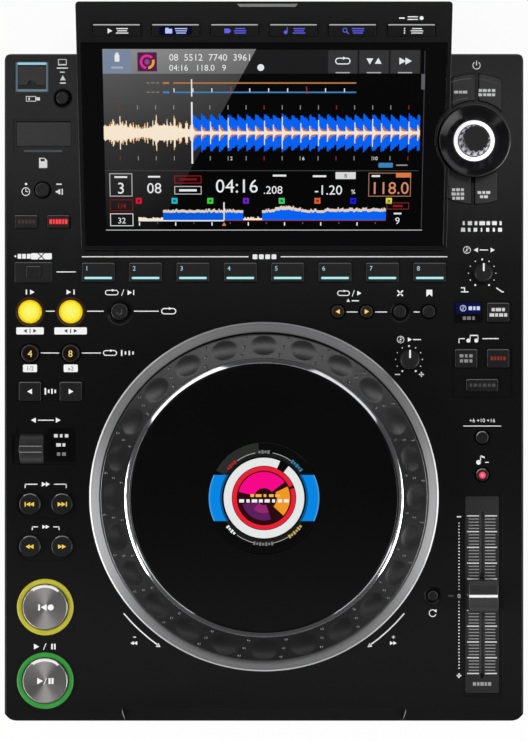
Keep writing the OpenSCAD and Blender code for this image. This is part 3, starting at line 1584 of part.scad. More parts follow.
module slider_plate() {
    color(key_black)
    difference() {
        at(slider_pos, panel_under + slider_plate_t) slab(slider_plate_w, slider_plate_d, slider_plate_t, 1);
        at(slider_pos, panel_under) block(slot_w, 2 * slider_travel + slider_stem_d, panel_t);
    }
}

// Rail unit under the slot: a trough that guides the carriage
module slider_rail() {
    length = 2 * slider_travel + 24;
    color(steel) at(slider_pos, panel_under - rail_h) difference() {
        block(rail_w, length, rail_h);
        translate([0, 0, rail_t]) block(rail_w - 2 * rail_t, length - 2 * rail_t, rail_h);
    }
}

module slider_cap() {
    rail_floor = panel_under - rail_h + rail_t;
    cap_z = panel_z + pass_gap;
    carriage_h = 5;
    stem_z = rail_floor + pass_gap + carriage_h;
    waist = 3;
    color([0.2, 0.2, 0.22]) at(slider_pos) {
        translate([0, 0, rail_floor + pass_gap])
            block(rail_w - 2 * rail_t - 2 * pass_gap, 2 * slider_stem_d, carriage_h);
        translate([0, 0, stem_z - eps])
            block(slider_stem_t, slider_stem_d - 1, cap_z - stem_z + 2 * eps);
        translate([0, 0, cap_z]) rotate([90, 0, 90]) translate([0, 0, -slider_cap_w / 2])
            linear_extrude(slider_cap_w) polygon([[-slider_cap_d / 2, 0], [slider_cap_d / 2, 0],
                [slider_cap_d / 2, slider_cap_h - waist], [slider_cap_d / 2 - waist, slider_cap_h],
                [waist / 2, slider_cap_h - waist / 2], [-waist / 2, slider_cap_h - waist / 2],
                [-slider_cap_d / 2 + waist, slider_cap_h], [-slider_cap_d / 2, slider_cap_h - waist]]);
    }
}

bottom_case();
rubber_feet();
case_screws();
top_panel();
rear_panel();
rear_sockets();
power_switch();
network_socket();
power_supply();
circuit_boards();
media_sockets();
display_back_shell();
display_module();
display_bezel();
display_glass();
display_keys();
jog_surround_ring();
jog_spindle();
jog_bearing();
jog_display();
jog_dial();
jog_trim_ring();
jog_plate();
light_rings();
cue_button();
play_button();
search_buttons();
track_search_buttons();
direction_lever();
beat_jump_keys();
beat_loop_buttons();
loop_in_button();
loop_out_button();
reloop_button();
bank_key();
slip_and_quantize_keys();
time_mode_button();
card_door();
stick_flap();
stick_stop_button();
hot_cue_pads();
cue_call_buttons();
delete_button();
memory_button();
jog_feel_knob();
speed_knob();
jog_mode_key();
beat_sync_key();
master_key();
key_sync_key();
selector_dish();
selector_shaft();
selector_knob();
corner_keys();
tempo_range_button();
master_tempo_button();
tempo_reset_button();
slider_plate();
slider_rail();
slider_cap();
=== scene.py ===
import json
import math
import random

import bmesh
import bpy
from mathutils import Matrix, Vector

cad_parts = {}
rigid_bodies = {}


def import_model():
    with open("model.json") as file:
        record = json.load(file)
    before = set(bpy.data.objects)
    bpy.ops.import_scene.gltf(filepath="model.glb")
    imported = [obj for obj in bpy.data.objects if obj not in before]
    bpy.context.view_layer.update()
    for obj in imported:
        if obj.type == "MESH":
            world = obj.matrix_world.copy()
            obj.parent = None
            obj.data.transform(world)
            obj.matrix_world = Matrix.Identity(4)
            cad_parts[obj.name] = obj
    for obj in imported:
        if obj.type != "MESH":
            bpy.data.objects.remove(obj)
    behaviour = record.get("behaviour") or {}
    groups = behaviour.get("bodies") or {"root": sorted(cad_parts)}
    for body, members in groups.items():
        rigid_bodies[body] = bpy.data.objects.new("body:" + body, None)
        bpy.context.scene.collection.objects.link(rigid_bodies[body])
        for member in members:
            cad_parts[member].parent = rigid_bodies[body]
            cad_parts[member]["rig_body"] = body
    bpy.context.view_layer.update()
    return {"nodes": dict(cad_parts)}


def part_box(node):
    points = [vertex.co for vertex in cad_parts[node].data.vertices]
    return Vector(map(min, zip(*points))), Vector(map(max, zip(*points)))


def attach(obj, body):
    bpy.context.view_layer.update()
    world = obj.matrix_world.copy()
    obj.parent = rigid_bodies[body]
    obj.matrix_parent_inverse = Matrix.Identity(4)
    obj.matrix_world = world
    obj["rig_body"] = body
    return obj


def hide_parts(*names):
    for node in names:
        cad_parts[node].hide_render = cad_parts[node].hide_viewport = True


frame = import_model()


# ------------------------------------------------------------------ camera
# Looks straight down at the panel from 1.4 m above it, so the whole player from its front lip to
# the display's rear edge fills the frame. There are no cords: only the mains inlet is fitted.

mm = 0.001
panel_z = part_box("top_panel")[1].z
scene = bpy.context.scene
camera_data = bpy.data.cameras.new("camera")
camera_data.lens = 107.3
camera_data.sensor_width = 36
camera = bpy.data.objects.new("camera", camera_data)
camera.location = (0, 0.0012, panel_z + 1.4)
scene.collection.objects.link(camera)
scene.camera = camera
scene.view_settings.view_transform = "Standard"


# ------------------------------------------------------------------ bottom case
# The tray that carries everything: folded steel sheet under fine textured black powder paint,
# closed from below by six screws and standing on four moulded rubber feet.

class Shade:
    """A shader socket that takes part in Python sums: each sum adds its own node."""

    def __init__(self, tree, socket):
        self.tree, self.socket = tree, socket

    def node(self, kind, settings=None, values=None, out=0):
        """Adds a node, sets it up, gives its sockets values or links, and returns one output."""
        made = self.tree.nodes.new("ShaderNode" + kind)
        for key, value in (settings or {}).items():
            setattr(made, key, value)
        for key, value in (values or {}).items():
            if isinstance(value, Shade):
                self.tree.links.new(value.socket, made.inputs[key])
            else:
                made.inputs[key].default_value = value
        return Shade(self.tree, made.outputs[out])

    def sum(self, operation, first, second):
        """Adds the kind of node that suits both sides, of which one may be a number."""
        kinds = {side.socket.type for side in (first, second) if isinstance(side, Shade)}
        wide = 4 if "RGBA" in kinds else 3 if "VECTOR" in kinds else 0
        if wide:
            first, second = [(side,) * wide if isinstance(side, (int, float)) else side
                             for side in (first, second)]
        if wide == 4:
            blend = {"data_type": "RGBA", "blend_type": operation}
            return self.node("Mix", blend, {0: 1.0, 6: first, 7: second}, out=2)
        return self.node("VectorMath" if wide else "Math", {"operation": operation}, {0: first, 1: second})

    def __add__(self, other):
        return self.sum("ADD", self, other)

    def __radd__(self, other):
        return self.sum("ADD", other, self)

    def __sub__(self, other):
        return self.sum("SUBTRACT", self, other)

    def __rsub__(self, other):
        return self.sum("SUBTRACT", other, self)

    def __mul__(self, other):
        return self.sum("MULTIPLY", self, other)

    def __rmul__(self, other):
        return self.sum("MULTIPLY", other, self)

    def __mod__(self, other):
        return self.sum("FLOORED_MODULO", self, other)

    def __rmod__(self, other):
        return self.sum("FLOORED_MODULO", other, self)

    def __lt__(self, other):
        return self.sum("LESS_THAN", self, other)

    def __gt__(self, other):
        return self.sum("GREATER_THAN", self, other)

    def noise(self, scale, detail=2.0, stretch=(1, 1, 1)):
        """Noise between 0 and 1 at this vector, with so many grains to the metre."""
        place = self.node("Mapping", {}, {"Vector": self, "Scale": stretch})
        return place.node("TexNoise", {}, {"Vector": place, "Scale": scale, "Detail": detail})

    def between(self, low, high):
        """This 0 to 1 value carried to the range from low to high."""
        return self * (high - low) + low

    def bump(self, height):
        """A normal for a surface that stands so many metres high where this value is 1."""
        return self.node("Bump", {}, {"Height": self, "Distance": height})

    def tint(self, dark, bright):
        """A colour that runs from dark to bright as this value goes from 0 to 1."""
        mix = {"data_type": "RGBA"}
        return self.node("Mix", mix, {0: self, 6: (*dark, 1), 7: (*bright, 1)}, out=2)


def new_finish(name):
    """An empty material and the Object coordinates inside it."""
    made = bpy.data.materials.new(name)
    made.use_nodes = True
    start = Shade(made.node_tree, None)
    return made, start.node("TexCoord", out=3)


def wear(finish, **looks):
    """Sets the shader of a material: Base_Color=... goes to its socket Base Color."""
    shader = finish.node_tree.nodes["Principled BSDF"]
    for key, value in looks.items():
        socket = shader.inputs[key.replace("_", " ")]
        if isinstance(value, Shade):
            finish.node_tree.links.new(value.socket, socket)
        else:
            socket.default_value = (*value, 1) if isinstance(value, tuple) and len(value) == 3 else value
    return finish


def moulded(name, dark, bright, rough, grain=1400, depth=0.00003, patches=18, **more):
    """Moulded or painted finish: two close tones in soft patches and a fine grain."""
    finish, place = new_finish(name)
    patch = place.noise(patches, 3)
    fine = place.noise(grain, 3)
    speck = place.noise(grain * 0.3, 1)
    return wear(finish, Base_Color=(patch * 0.6 + fine * 0.4).tint(dark, bright),
                Roughness=(patch * 0.5 + speck * 0.5).between(rough - 0.07, rough + 0.07),
                Normal=fine.bump(depth), **more)


def softened(node, bevel=0.0, segments=2, sharp=32):
    """A copy of a CAD node's mesh with its doubles merged and its outer edges rounded."""
    bm = bmesh.new()
    bm.from_mesh(frame["nodes"][node].data)
    bmesh.ops.remove_doubles(bm, verts=bm.verts, dist=0.000004)
    bmesh.ops.dissolve_limit(bm, angle_limit=math.radians(0.4), verts=bm.verts, edges=bm.edges)
    if bevel:
        edges = [e for e in bm.edges if e.is_manifold and e.is_convex
                 and e.calc_face_angle(0) > math.radians(sharp)]
        bmesh.ops.bevel(bm, geom=edges, offset=bevel, offset_type="OFFSET", segments=segments,
                        profile=0.5, affect="EDGES", clamp_overlap=True, material=-1)
    return bm


def add_piece(name, bm, finish, body="root", replaces=(), sharp=32):
    """Makes an object of a bmesh, shades it smooth up to its sharp edges and hangs it on a body."""
    mesh = bpy.data.meshes.new(name)
    bm.to_mesh(mesh)
    bm.free()
    mesh.materials.append(finish)
    mesh.shade_smooth()
    mesh.set_sharp_from_angle(angle=math.radians(sharp))
    made = bpy.data.objects.new(name, mesh)
    scene.collection.objects.link(made)
    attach(made, body)
    if replaces:
        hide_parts(*replaces)
    return made


def refine(node, finish, bevel=0.0, segments=2, sharp=32):
    """Replaces a CAD node by its own shape with rounded edges and smooth shading."""
    made = add_piece(node + "_finished", softened(node, bevel, segments, sharp), finish,
                     frame["nodes"][node]["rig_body"], (node,), sharp)
    made.modifiers.new("flat_faces_first", "WEIGHTED_NORMAL").keep_sharp = True
    return made


case_paint = moulded("case_paint", (0.011, 0.011, 0.012), (0.02, 0.02, 0.021), 0.5, 1100, 0.00012,
                    Specular_IOR_Level=0.3)
foot_rubber = moulded("foot_rubber", (0.012, 0.012, 0.012), (0.022, 0.022, 0.022), 0.82, 700, 0.0001)
screw_steel = moulded("screw_steel", (0.35, 0.35, 0.36), (0.5, 0.5, 0.52), 0.36, 900, 0.00002, Metallic=1.0)
refine("bottom_case", case_paint, 0.0006)
refine("rubber_feet", foot_rubber, 0.0008, 3)
refine("case_screws", screw_steel, 0.0003)


# ------------------------------------------------------------------ top panel
# One large moulding of satin black plastic with a barely visible grain. Controls come up through
# its holes, and dishes, recesses and the matt slope of the front lip are moulded in.

def dress(piece, finish, chosen):
    """Gives one more finish to the faces whose centre and normal pass the test."""
    piece.data.materials.append(finish)
    for face in piece.data.polygons:
        if chosen(face.center, face.normal):
            face.material_index = len(piece.data.materials) - 1


panel_black = moulded("panel_black", (0.002, 0.002, 0.0022), (0.0042, 0.0042, 0.0045), 0.22, 2300,
                      0.000012, 9, Specular_IOR_Level=0.2)
lip_black = moulded("lip_black", (0.008, 0.008, 0.0085), (0.013, 0.013, 0.0135), 0.5, 2300,
                    0.000012, 9, IOR=1.0)
top_panel = refine("top_panel", panel_black, 0.0002, 1, 40)
recess_z = panel_z - 0.8 * mm
lip_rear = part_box("top_panel")[0].y + 20 * mm
dress(top_panel, lip_black, lambda c, n: c.y < lip_rear and n.y < -0.25)


# ------------------------------------------------------------------ legends on the panel
# White screen printed marks in a film a few hundredths of a millimetre thick. They are plain
# figures, lines and symbols: the panel carries no words.

WHITE = (0.86, 0.86, 0.86)
BLACK = (0.004, 0.004, 0.004)


def top_of(node):
    """Place of a node's top: its middle in x and y, and its highest point."""
    low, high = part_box(node)
    return Matrix.Translation(((low.x + high.x) / 2, (low.y + high.y) / 2, high.z))


class Marks:
    """Flat marks in millimetres that share one mesh. Each keeps its colour in the attribute paint."""

    def __init__(self):
        self.bm = bmesh.new()
        self.paint = self.bm.loops.layers.float_color.new("paint")
        self.figures = bpy.data.curves.new("figures", "FONT")
        self.figures.resolution_u = 3

    def fill(self, first, colour):
        """Colours every face from number first on."""
        self.bm.faces.ensure_lookup_table()
        for face in self.bm.faces[first:]:
            for loop in face.loops:
                loop[self.paint] = (*colour, 1)

    def bar(self, x, y, w, h, colour=WHITE, turn=0.0, lift=0.0, corner=0.0):
        """Rectangle about x and y, turned anticlockwise, with its corners rounded if corner is set."""
        outline = []
        for i in range(16) if corner else range(0, 16, 4):
            angle = math.radians(90 * (i // 4) + 30 * (i % 4))
            side = (1 if i < 4 or i > 11 else -1, 1 if i < 8 else -1)
            outline.append((side[0] * (w / 2 - corner) + corner * math.cos(angle),
                            side[1] * (h / 2 - corner) + corner * math.sin(angle)))
        c, s = math.cos(math.radians(turn)), math.sin(math.radians(turn))
        self.shape([(px * c - py * s, px * s + py * c) for px, py in outline], colour, x, y, lift)

    def bars(self, *rows):
        """A bar for each row of values."""
        for row in rows:
            self.bar(*row)

    def blocks(self, x, y, widths, pitch, h, colour=WHITE, lift=0.0, corner=0.0):
        """Row of short bars that stands for a word. The middle of the first one is at x."""
        for i, w in enumerate(widths):
            self.bar(x + i * pitch, y, w, h, colour, 0, lift, corner)

    def frame(self, x, y, w, h, line, colour=WHITE, lift=0.0):
        """The four sides of a rectangle."""
        for side in (-1, 1):
            self.bar(x, y + side * (h - line) / 2, w, line, colour, 0, lift)
            self.bar(x + side * (w - line) / 2, y, line, h - 2 * line, colour, 0, lift)

    def ring(self, x, y, r, r_in, colour=WHITE, start=0.0, sweep=360.0, lift=0.0, steps=48):
        """Part of a ring, anticlockwise from the angle start, which is measured from +X."""
        first = len(self.bm.faces)
        c, s = math.cos(math.radians(start)), math.sin(math.radians(start))
        ends = [self.bm.verts.new((x + reach * c, y + reach * s, lift)) for reach in (r_in, r)]
        side = self.bm.edges.new(ends)
        bmesh.ops.spin(self.bm, geom=[*ends, side], cent=(x, y, lift), axis=(0, 0, 1), dvec=(0, 0, 0),
                       angle=math.radians(sweep), steps=max(4, round(steps * sweep / 360)),
                       use_merge=sweep == 360, use_duplicate=False)
        self.fill(first, colour)

    def disc(self, x, y, r, colour=WHITE, lift=0.0, steps=32):
        """Full disc about x and y."""
        turns = [2 * math.pi * i / steps for i in range(steps)]
        self.shape([(r * math.cos(t), r * math.sin(t)) for t in turns], colour, x, y, lift)

    def shape(self, points, colour=WHITE, x=0.0, y=0.0, lift=0.0):
        """Polygon whose points are measured from x and y."""
        first = len(self.bm.faces)
        self.bm.faces.new([self.bm.verts.new((x + px, y + py, lift)) for px, py in points])
        self.fill(first, colour)

    def blend(self, corners, lift=0.0):
        """Polygon whose colour runs from corner to corner; a corner is (x, y, colour)."""
        self.shape([corner[:2] for corner in corners], WHITE, 0, 0, lift)
        self.bm.faces.ensure_lookup_table()
        for loop, corner in zip(self.bm.faces[-1].loops, corners):
            loop[self.paint] = (*corner[2], 1)

    def arrow(self, x, y, size, turn=0.0, colour=WHITE, lift=0.0):
        """Solid triangle that points to +X, turned anticlockwise."""
        c, s = math.cos(math.radians(turn)), math.sin(math.radians(turn))
        corners = [(0.5 * size, 0), (-0.4 * size, 0.5 * size), (-0.4 * size, -0.5 * size)]
        self.shape([(px * c - py * s, px * s + py * c) for px, py in corners], colour, x, y, lift)

    def figure(self, text, x, y, size, colour=WHITE, lift=0.0, align="CENTER"):
        """Plain numerals and signs, centred in height on y. size is the height of a digit."""
        self.figures.body = text
        self.figures.size = size / 0.73
        self.figures.align_x = align
        holder = bpy.data.objects.new("figures", self.figures)
        shape = bpy.data.meshes.new_from_object(holder)
        shape.transform(Matrix.Translation((x, y - size / 2, lift)))
        first = len(self.bm.faces)
        self.bm.from_mesh(shape)
        self.fill(first, colour)
        bpy.data.objects.remove(holder)
        bpy.data.meshes.remove(shape)

    def piece(self, name, finish, place, body="root", slot="panel", film=0.03):
        """Gives the marks the thickness of a film in millimetres and puts them where they belong."""
        self.bm.normal_update()
        for face in self.bm.faces:
            if face.normal.z < 0:
                face.normal_flip()
        bmesh.ops.solidify(self.bm, geom=self.bm.faces, thickness=film)
        bmesh.ops.transform(self.bm, matrix=place @ Matrix.Scale(mm, 4) @ Matrix.Translation((0, 0, film)),
                            verts=self.bm.verts)
        bpy.data.curves.remove(self.figures)
        return add_piece(name, self.bm, finish, body)

    def on_key(self, name, finish, node, slot="key"):
        """Puts the marks on the top of a node, whose body they ride with."""
        return self.piece(name, finish, top_of(node), node, slot)


def printed(name):
    """Ink that takes its colour from the attribute paint, a little uneven as screen print is."""
    finish, place = new_finish(name)
    paint = place.node("Attribute", {"attribute_name": "paint"})
    uneven = place.noise(900, 2).between(0.86, 1.0)
    return wear(finish, Base_Color=paint * uneven, Roughness=0.55)


def lit(name, raster=0.0):
    """Light that takes its colour from the attribute paint. raster is the depth of a pixel grid."""
    finish, place = new_finish(name)
    paint = place.node("Attribute", {"attribute_name": "paint"})
    across = place.node("SeparateXYZ", {}, {0: place})
    pixel = 0.17 * mm
    grid = (across % pixel) < pixel * 0.72
    glow = paint * (grid.between(1 - raster, 1) if raster else place.noise(600, 1).between(0.9, 1.0))
    return wear(finish, Base_Color=(0.001, 0.001, 0.001), Emission_Color=glow, Emission_Strength=1.0,
                Roughness=0.2, Specular_IOR_Level=0.1)


def skip_symbol(marks, x, y, size, way, bars, colour, lift=0.0):
    """Two arrows one behind the other, with a stop bar at their tip if bars is true."""
    for step in (-0.42, 0.42):
        marks.arrow(x + step * size - way * 0.1 * size * bars, y, size, 0 if way > 0 else 180, colour, lift)
    if bars:
        marks.bar(x + way * 1.0 * size, y, 0.24 * size, size, colour, 0, lift)


def loop_symbol(marks, x, y, w, h, colour, lift=0.0):
    """Rounded loop with an arrow head in its upper side."""
    line = 0.16 * h
    for side in (-1, 1):
        marks.ring(x + side * (w - h) / 2, y, h / 2, h / 2 - line, colour, 90 if side < 0 else 270, 180, lift)
        marks.bar(x, y + side * (h - line) / 2, w - h, line, colour, 0, lift)
    marks.arrow(x + 0.1 * w, y + (h - line) / 2, 0.5 * h, 0, colour, lift + 0.03)


def disc_symbol(marks, x, y, r, colour=WHITE, lift=0.0):
    """A record seen from above."""
    marks.ring(x, y, r, r - 0.35, colour, 0, 360, lift)
    marks.ring(x, y, r * 0.62, r * 0.62 - 0.3, colour, 20, 90, lift)
    marks.ring(x, y, r * 0.62, r * 0.62 - 0.3, colour, 200, 90, lift)
    marks.disc(x, y, r * 0.22, colour, lift, 16)


def dial_dots(marks, x, y, r, count=11):
    """Dots and end marks round a knob that turns 150 degrees each way."""
    for i in range(count):
        angle = math.radians(240 - i * 300 / (count - 1))
        big = i in (0, count // 2, count - 1)
        marks.disc(x + r * math.cos(angle), y + r * math.sin(angle), 0.62 if big else 0.42, WHITE, 0, 14)


ink = Marks()
RULE = 0.6
# Thin rules that join the symbols of a row: left column, pads, right column
for x, y, length in ((-125.5, 63.7, 12.2), (-135.4, 38.8, 5.8), (-106.9, 38.8, 10.6), (-74.6, 38.8, 15.6),
                     (-135.6, 12.3, 11.8), (-109.6, 12.3, 12.1), (-138.3, -30.3, 10.2),
                     (-62.7, 73.3, 105.6), (63.4, 73.3, 105.6), (55.9, 38.3, 7.1), (74.2, 38.3, 7.6),
                     (96.8, 38.3, 3.9), (97.0, 20.8, 5.0), (139.4, 77.6, 5.4), (125.4, 21.4, 3.8),
                     (143.6, 21.4, 10.4), (141.3, -57.0, 2.4)):
    ink.bar(x, y, length, RULE)
# Ports and the stop button behind them
ink.bars((-127.8, 196.6, 5.6, 4.0, WHITE, 0, 0, 0.5), (-127.8, 196.8, 4.4, 2.7, BLACK, 0, 0.02),
         (-127.8, 192.9, 7.2, 0.8), (-127.8, 190.3, 3.0, 0.7), (-127.5, 183.4, 3.8, 0.9),
         (-143.2, 173.4, 2.4, 2.0), (-148.9, 173.4, 1.0, 1.5), (-140.3, 134.6, 2.6, 1.6, BLACK, 0, 0.02))
ink.arrow(-127.5, 186.6, 3.6, 90)
ink.frame(-147.7, 173.4, 6.4, 3.4, 0.45)
ink.shape([(-2.6, -3.2), (2.6, -3.2), (2.6, 1.6), (1.0, 3.2), (-2.6, 3.2)], WHITE, -140.0, 132.8)
# Time mode button: a clock on one side, a stop at the first beat on the other
ink.ring(-151.0, 114.6, 2.7, 2.2)
ink.disc(-150.8, 119.4, 0.8, WHITE, 0, 16)
ink.arrow(-130.6, 114.5, 3.8, 180)
ink.bars((-151.0, 115.4, 0.45, 1.9), (-150.3, 114.6, 1.7, 0.45), (-127.9, 114.5, 0.8, 3.8),
         (-129.9, 119.3, 3.5, 0.9))
# Bank key
ink.disc(-157.6, 73.6, 0.6, WHITE, 0, 14)
ink.blocks(-155.0, 73.6, (2.3,) * 3, 2.9, 3.0)
ink.bars((-141.2, 73.6, 13.4, 3.9, WHITE, 0, 0, 0.7), (-141.2, 73.6, 6.0, RULE, BLACK, 45, 0.02),
         (-141.2, 73.6, 6.0, RULE, BLACK, -45, 0.02))
# Loop row
for bar_x, arrow_x, x, w in ((-150.6, -147.0, -148.3, 17.4), (-120.4, -123.9, -122.6, 20.6)):
    ink.arrow(arrow_x, 50.9, 3.2)
    ink.bars((bar_x, 50.9, 0.8, 3.2), (x, 26.3, w, 4.5, WHITE, 0, 0, 0.7),
             (x, 26.3, RULE, 2.8, BLACK, 0, 0.02))
    for side in (-1, 1):
        ink.arrow(x + side * 3.0, 26.3, 2.4, 90 - side * 90, BLACK, 0.02)
loop_symbol(ink, -60.4, 38.8, 9.6, 4.0, WHITE)
loop_symbol(ink, -96.5, 50.6, 8.6, 3.4, WHITE)
ink.bars((-89.6, 50.6, 0.45, 4.2, WHITE, -20), (-82.6, 50.6, 0.7, 3.2))
ink.arrow(-85.2, 50.6, 3.2)
# Beat loop and beat jump rows
loop_symbol(ink, -97.6, 12.3, 8.8, 3.6, WHITE)
for first_x, y, heights, pitch in ((-90.2, 12.3, (3.6, 2.0, 2.8, 2.0), 2.4),
                                   (-138.6, -12.0, (4.2, 2.2, 3.2, 2.2), 2.1)):
    for i, h in enumerate(heights):
        ink.bar(first_x + i * pitch, y, 1.0, h)
for x, text in ((-148.3, "1/2"), (-122.5, "x2")):
    ink.bar(x, 2.6, 8.9, 4.8, WHITE, 0, 0, 0.7)
    ink.figure(text, x, 2.6, 2.7, BLACK, 0.02)
# Direction lever: forward, still and back; under it the two rows of search buttons
for side in (-1, 1):
    ink.arrow(-138.3 + side * 7.7, -30.3, 3.4, 90 - side * 90)
    x = -138.4
    ink.bars((x + side * 9.2, -70.9, 8.0, RULE), (x + side * 13.0, -72.0, RULE, 2.6),
             (x + side * 6.8, -97.9, 3.8, RULE), (x + side * 8.5, -98.8, RULE, 2.2))
skip_symbol(ink, -138.4, -70.9, 3.0, 1, False, WHITE)
skip_symbol(ink, -138.4, -97.9, 2.6, 1, False, WHITE)
# Play: a start arrow, a stroke and a pause sign
ink.arrow(-144.4, -173.8, 3.6)
ink.bars((-139.0, -173.8, 0.5, 4.4, WHITE, -22), (-134.4, -173.8, 1.0, 3.6), (-132.6, -173.8, 1.0, 3.6))
# Pads: four small squares between the rules
ink.blocks(-5.7, 73.3, (3.0,) * 4, 4.0, 3.0, corner=0.5)
# Call, delete and memory
loop_symbol(ink, 50.4, 50.2, 8.0, 3.4, WHITE)
ink.arrow(60.3, 50.2, 3.0)
ink.arrow(53.4, 45.6, 2.2, 90)
ink.bars((56.6, 50.2, 0.45, 4.2, WHITE, -20), (57.9, 45.4, 4.6, 0.7), (86.3, 50.2, 4.9, 0.9, WHITE, -45),
         (86.3, 50.2, 4.9, 0.9, WHITE, 45))
ink.shape([(-1.9, 2.2), (-1.9, -2.2), (0, -0.7), (1.9, -2.2), (1.9, 2.2)], WHITE, 104.8, 50.2)
# Jog feel knob
disc_symbol(ink, 86.6, 20.8, 2.3)
ink.arrow(92.3, 20.8, 2.8)
dial_dots(ink, 91.9, 8.2, 8.5)
ink.bars((84.6, -1.3, 3.2, 0.7), (99.8, -1.3, 3.2, 0.7), (99.8, -1.3, 0.7, 3.2))
# Standby sign behind the corner keys, and two rows of blocks before them
ink.ring(134.7, 194.6, 2.6, 2.0, WHITE, 125, 290)
ink.bar(134.7, 196.1, 0.7, 3.2)
ink.blocks(126.6, 94.6, (1.28, 2.72, 1.76, 3.68, 2.24, 3.04, 1.44), 3.9, 2.5, corner=0.3)
ink.blocks(126.2, 90.4, (2.64, 1.65, 2.31, 0.99, 1.98, 1.43, 2.53), 3.9, 2.5, corner=0.3)
# Speed knob
disc_symbol(ink, 128.6, 77.6, 2.4)
ink.arrow(134.4, 77.6, 3.0, 180)
ink.arrow(144.8, 77.6, 3.0)
dial_dots(ink, 138.3, 62.9, 8.7)
ink.shape([(-2.4, -1.6), (2.4, -1.6), (2.4, -0.9), (0.3, -0.9), (0.3, 1.7), (-2.4, 1.7), (-2.4, 1.0),
           (-0.4, 1.0), (-0.4, -0.9), (-2.4, -0.9)], WHITE, 127.2, 52.3)
ink.shape([(-2.4, 1.7), (-2.4, 0.9), (1.2, -1.6), (2.4, -1.6), (2.4, -0.9), (1.6, -0.9)], WHITE, 149.6, 52.3)
# Sync keys: a bracket, and two linked notes
for x in (129.6, 134.6):
    ink.disc(x, 20.2, 1.3, WHITE, 0, 18)
    ink.bar(x + 1.05, 21.9, 0.5, 3.4)
ink.bars((123.6, 20.1, RULE, 3.2), (133.1, 23.4, 5.5, 0.8))
# Tempo range and master tempo
ink.figure("+6 +10 +16", 138.3, -30.4, 2.5)
ink.disc(136.0, -57.0, 1.5, WHITE, 0, 20)
ink.bars((138.3, -34.0, 24.0, 0.5), (137.25, -54.7, 0.5, 4.6))
ink.shape([(0, 0), (2.9, -1.1), (2.9, -2.2), (0, -1.1)], WHITE, 137.0, -52.3)
# Tempo slider: side dots with a minus, a nought and a plus, and the reset button's arrow
SLIDER_STEP = 2.0
SCALE_X = 123.6
SCALE_REAR = -91.5
for i in range(2, 49):
    if abs(i - 25) > 1:
        ink.disc(SCALE_X, SCALE_REAR - i * SLIDER_STEP, 0.42, WHITE, 0, 12)
ink.figure("0", SCALE_X, -141.7, 2.9)
ink.bars((SCALE_X, SCALE_REAR, 2.8, 0.9), (SCALE_X, -192.2, 2.8, 0.9), (SCALE_X, -192.2, 0.9, 2.8),
         (118.5, -141.6, 3.6, 1.3, (0.035, 0.035, 0.035)))
ink.ring(106.9, -152.6, 2.4, 1.9, WHITE, 60, 280)
ink.arrow(108.9, -150.9, 2.2, 60)
# Directions of the jog wheel: an arc, a skip symbol and a sign on each side
JOG_Y = -78.6
JOG_ARROW_R = 116.2
JOG_ARROW_SWEEP = 15.0
for side, start, tip, skip_x in ((-1, 219.8, 219.8 + JOG_ARROW_SWEEP, -82.4), (1, 305.2, 305.2, 81.9)):
    ink.ring(0, JOG_Y, JOG_ARROW_R, JOG_ARROW_R - 0.8, WHITE, start, JOG_ARROW_SWEEP, 0, 96)
    tip_x, tip_y = Matrix.Rotation(math.radians(tip), 2) @ Vector((JOG_ARROW_R - 0.3, 0))
    ink.arrow(tip_x, JOG_Y + tip_y, 3.0, 90 + side * 125)
    ink.bar(side * 82.0, -167.8, 1.9, RULE)
    skip_symbol(ink, skip_x, -171.6, 2.5, side, False, WHITE)
ink.bar(82.0, -167.8, RULE, 1.9)

silk_ink = printed("silk_ink")
ink.piece("panel_legends", silk_ink, Matrix.Translation((0, 0, panel_z)))


# ------------------------------------------------------------------ rear sockets
# Painted steel socket plate with a moulded mains inlet, a network and a data socket, three nickel
# plated phono sleeves and the power button. All are snapped or riveted into the plate.

socket_black = moulded("socket_black", (0.008, 0.008, 0.008), (0.014, 0.014, 0.014), 0.42)
nickel = moulded("nickel", (0.55, 0.53, 0.49), (0.7, 0.68, 0.63), 0.22, 500, 0.000008, Metallic=1.0)
gold = moulded("gold", (0.75, 0.5, 0.16), (0.9, 0.63, 0.24), 0.25, 500, 0.000008, Metallic=1.0)
steel = moulded("steel", (0.38, 0.38, 0.39), (0.52, 0.52, 0.53), 0.3, 700, 0.00001, Metallic=1.0)
key_black = moulded("key_black", (0.005, 0.005, 0.0055), (0.009, 0.009, 0.0095), 0.34, 2000, 0.000012, 30,
                    Specular_IOR_Level=0.25)
refine("rear_panel", case_paint)
sockets = refine("rear_sockets", socket_black)
refine("network_socket", steel)
refine("power_switch", key_black, 0.0004)
rear_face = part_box("rear_panel")[1].y
SOCKET_Z = 47 * mm
INLET_X, NET_X, DATA_X = 102.5 * mm, 46.5 * mm, 14.5 * mm
PHONO_X = [-43.5 * mm, -61.5 * mm, -79.5 * mm]
PIN_PITCH, PIN_HALF_W, PIN_HALF_H = 7 * mm, 1.05 * mm, 5.6 * mm
PIN_FOOT, PIN_TIP = 180.5 * mm, 196.5 * mm
INSULATOR_R = 1.8 * mm
dress(sockets, nickel, lambda c, n: c.x < -30 * mm and c.y > rear_face)
for x, tint in zip(PHONO_X, ((0.7, 0.7, 0.68), (0.55, 0.02, 0.015), (0.75, 0.22, 0.01))):
    ring = moulded("phono_insulator", tint, tint, 0.4)
    dress(sockets, ring,
          lambda c, n: math.hypot(c.x - x, c.z - SOCKET_Z) < INSULATOR_R and c.y > rear_face)
dress(sockets, nickel, lambda c, n: PIN_FOOT < c.y < PIN_TIP and abs(c.z - SOCKET_Z) < PIN_HALF_H
      and min(abs(c.x - INLET_X - d) for d in (-PIN_PITCH, 0, PIN_PITCH)) < PIN_HALF_W)

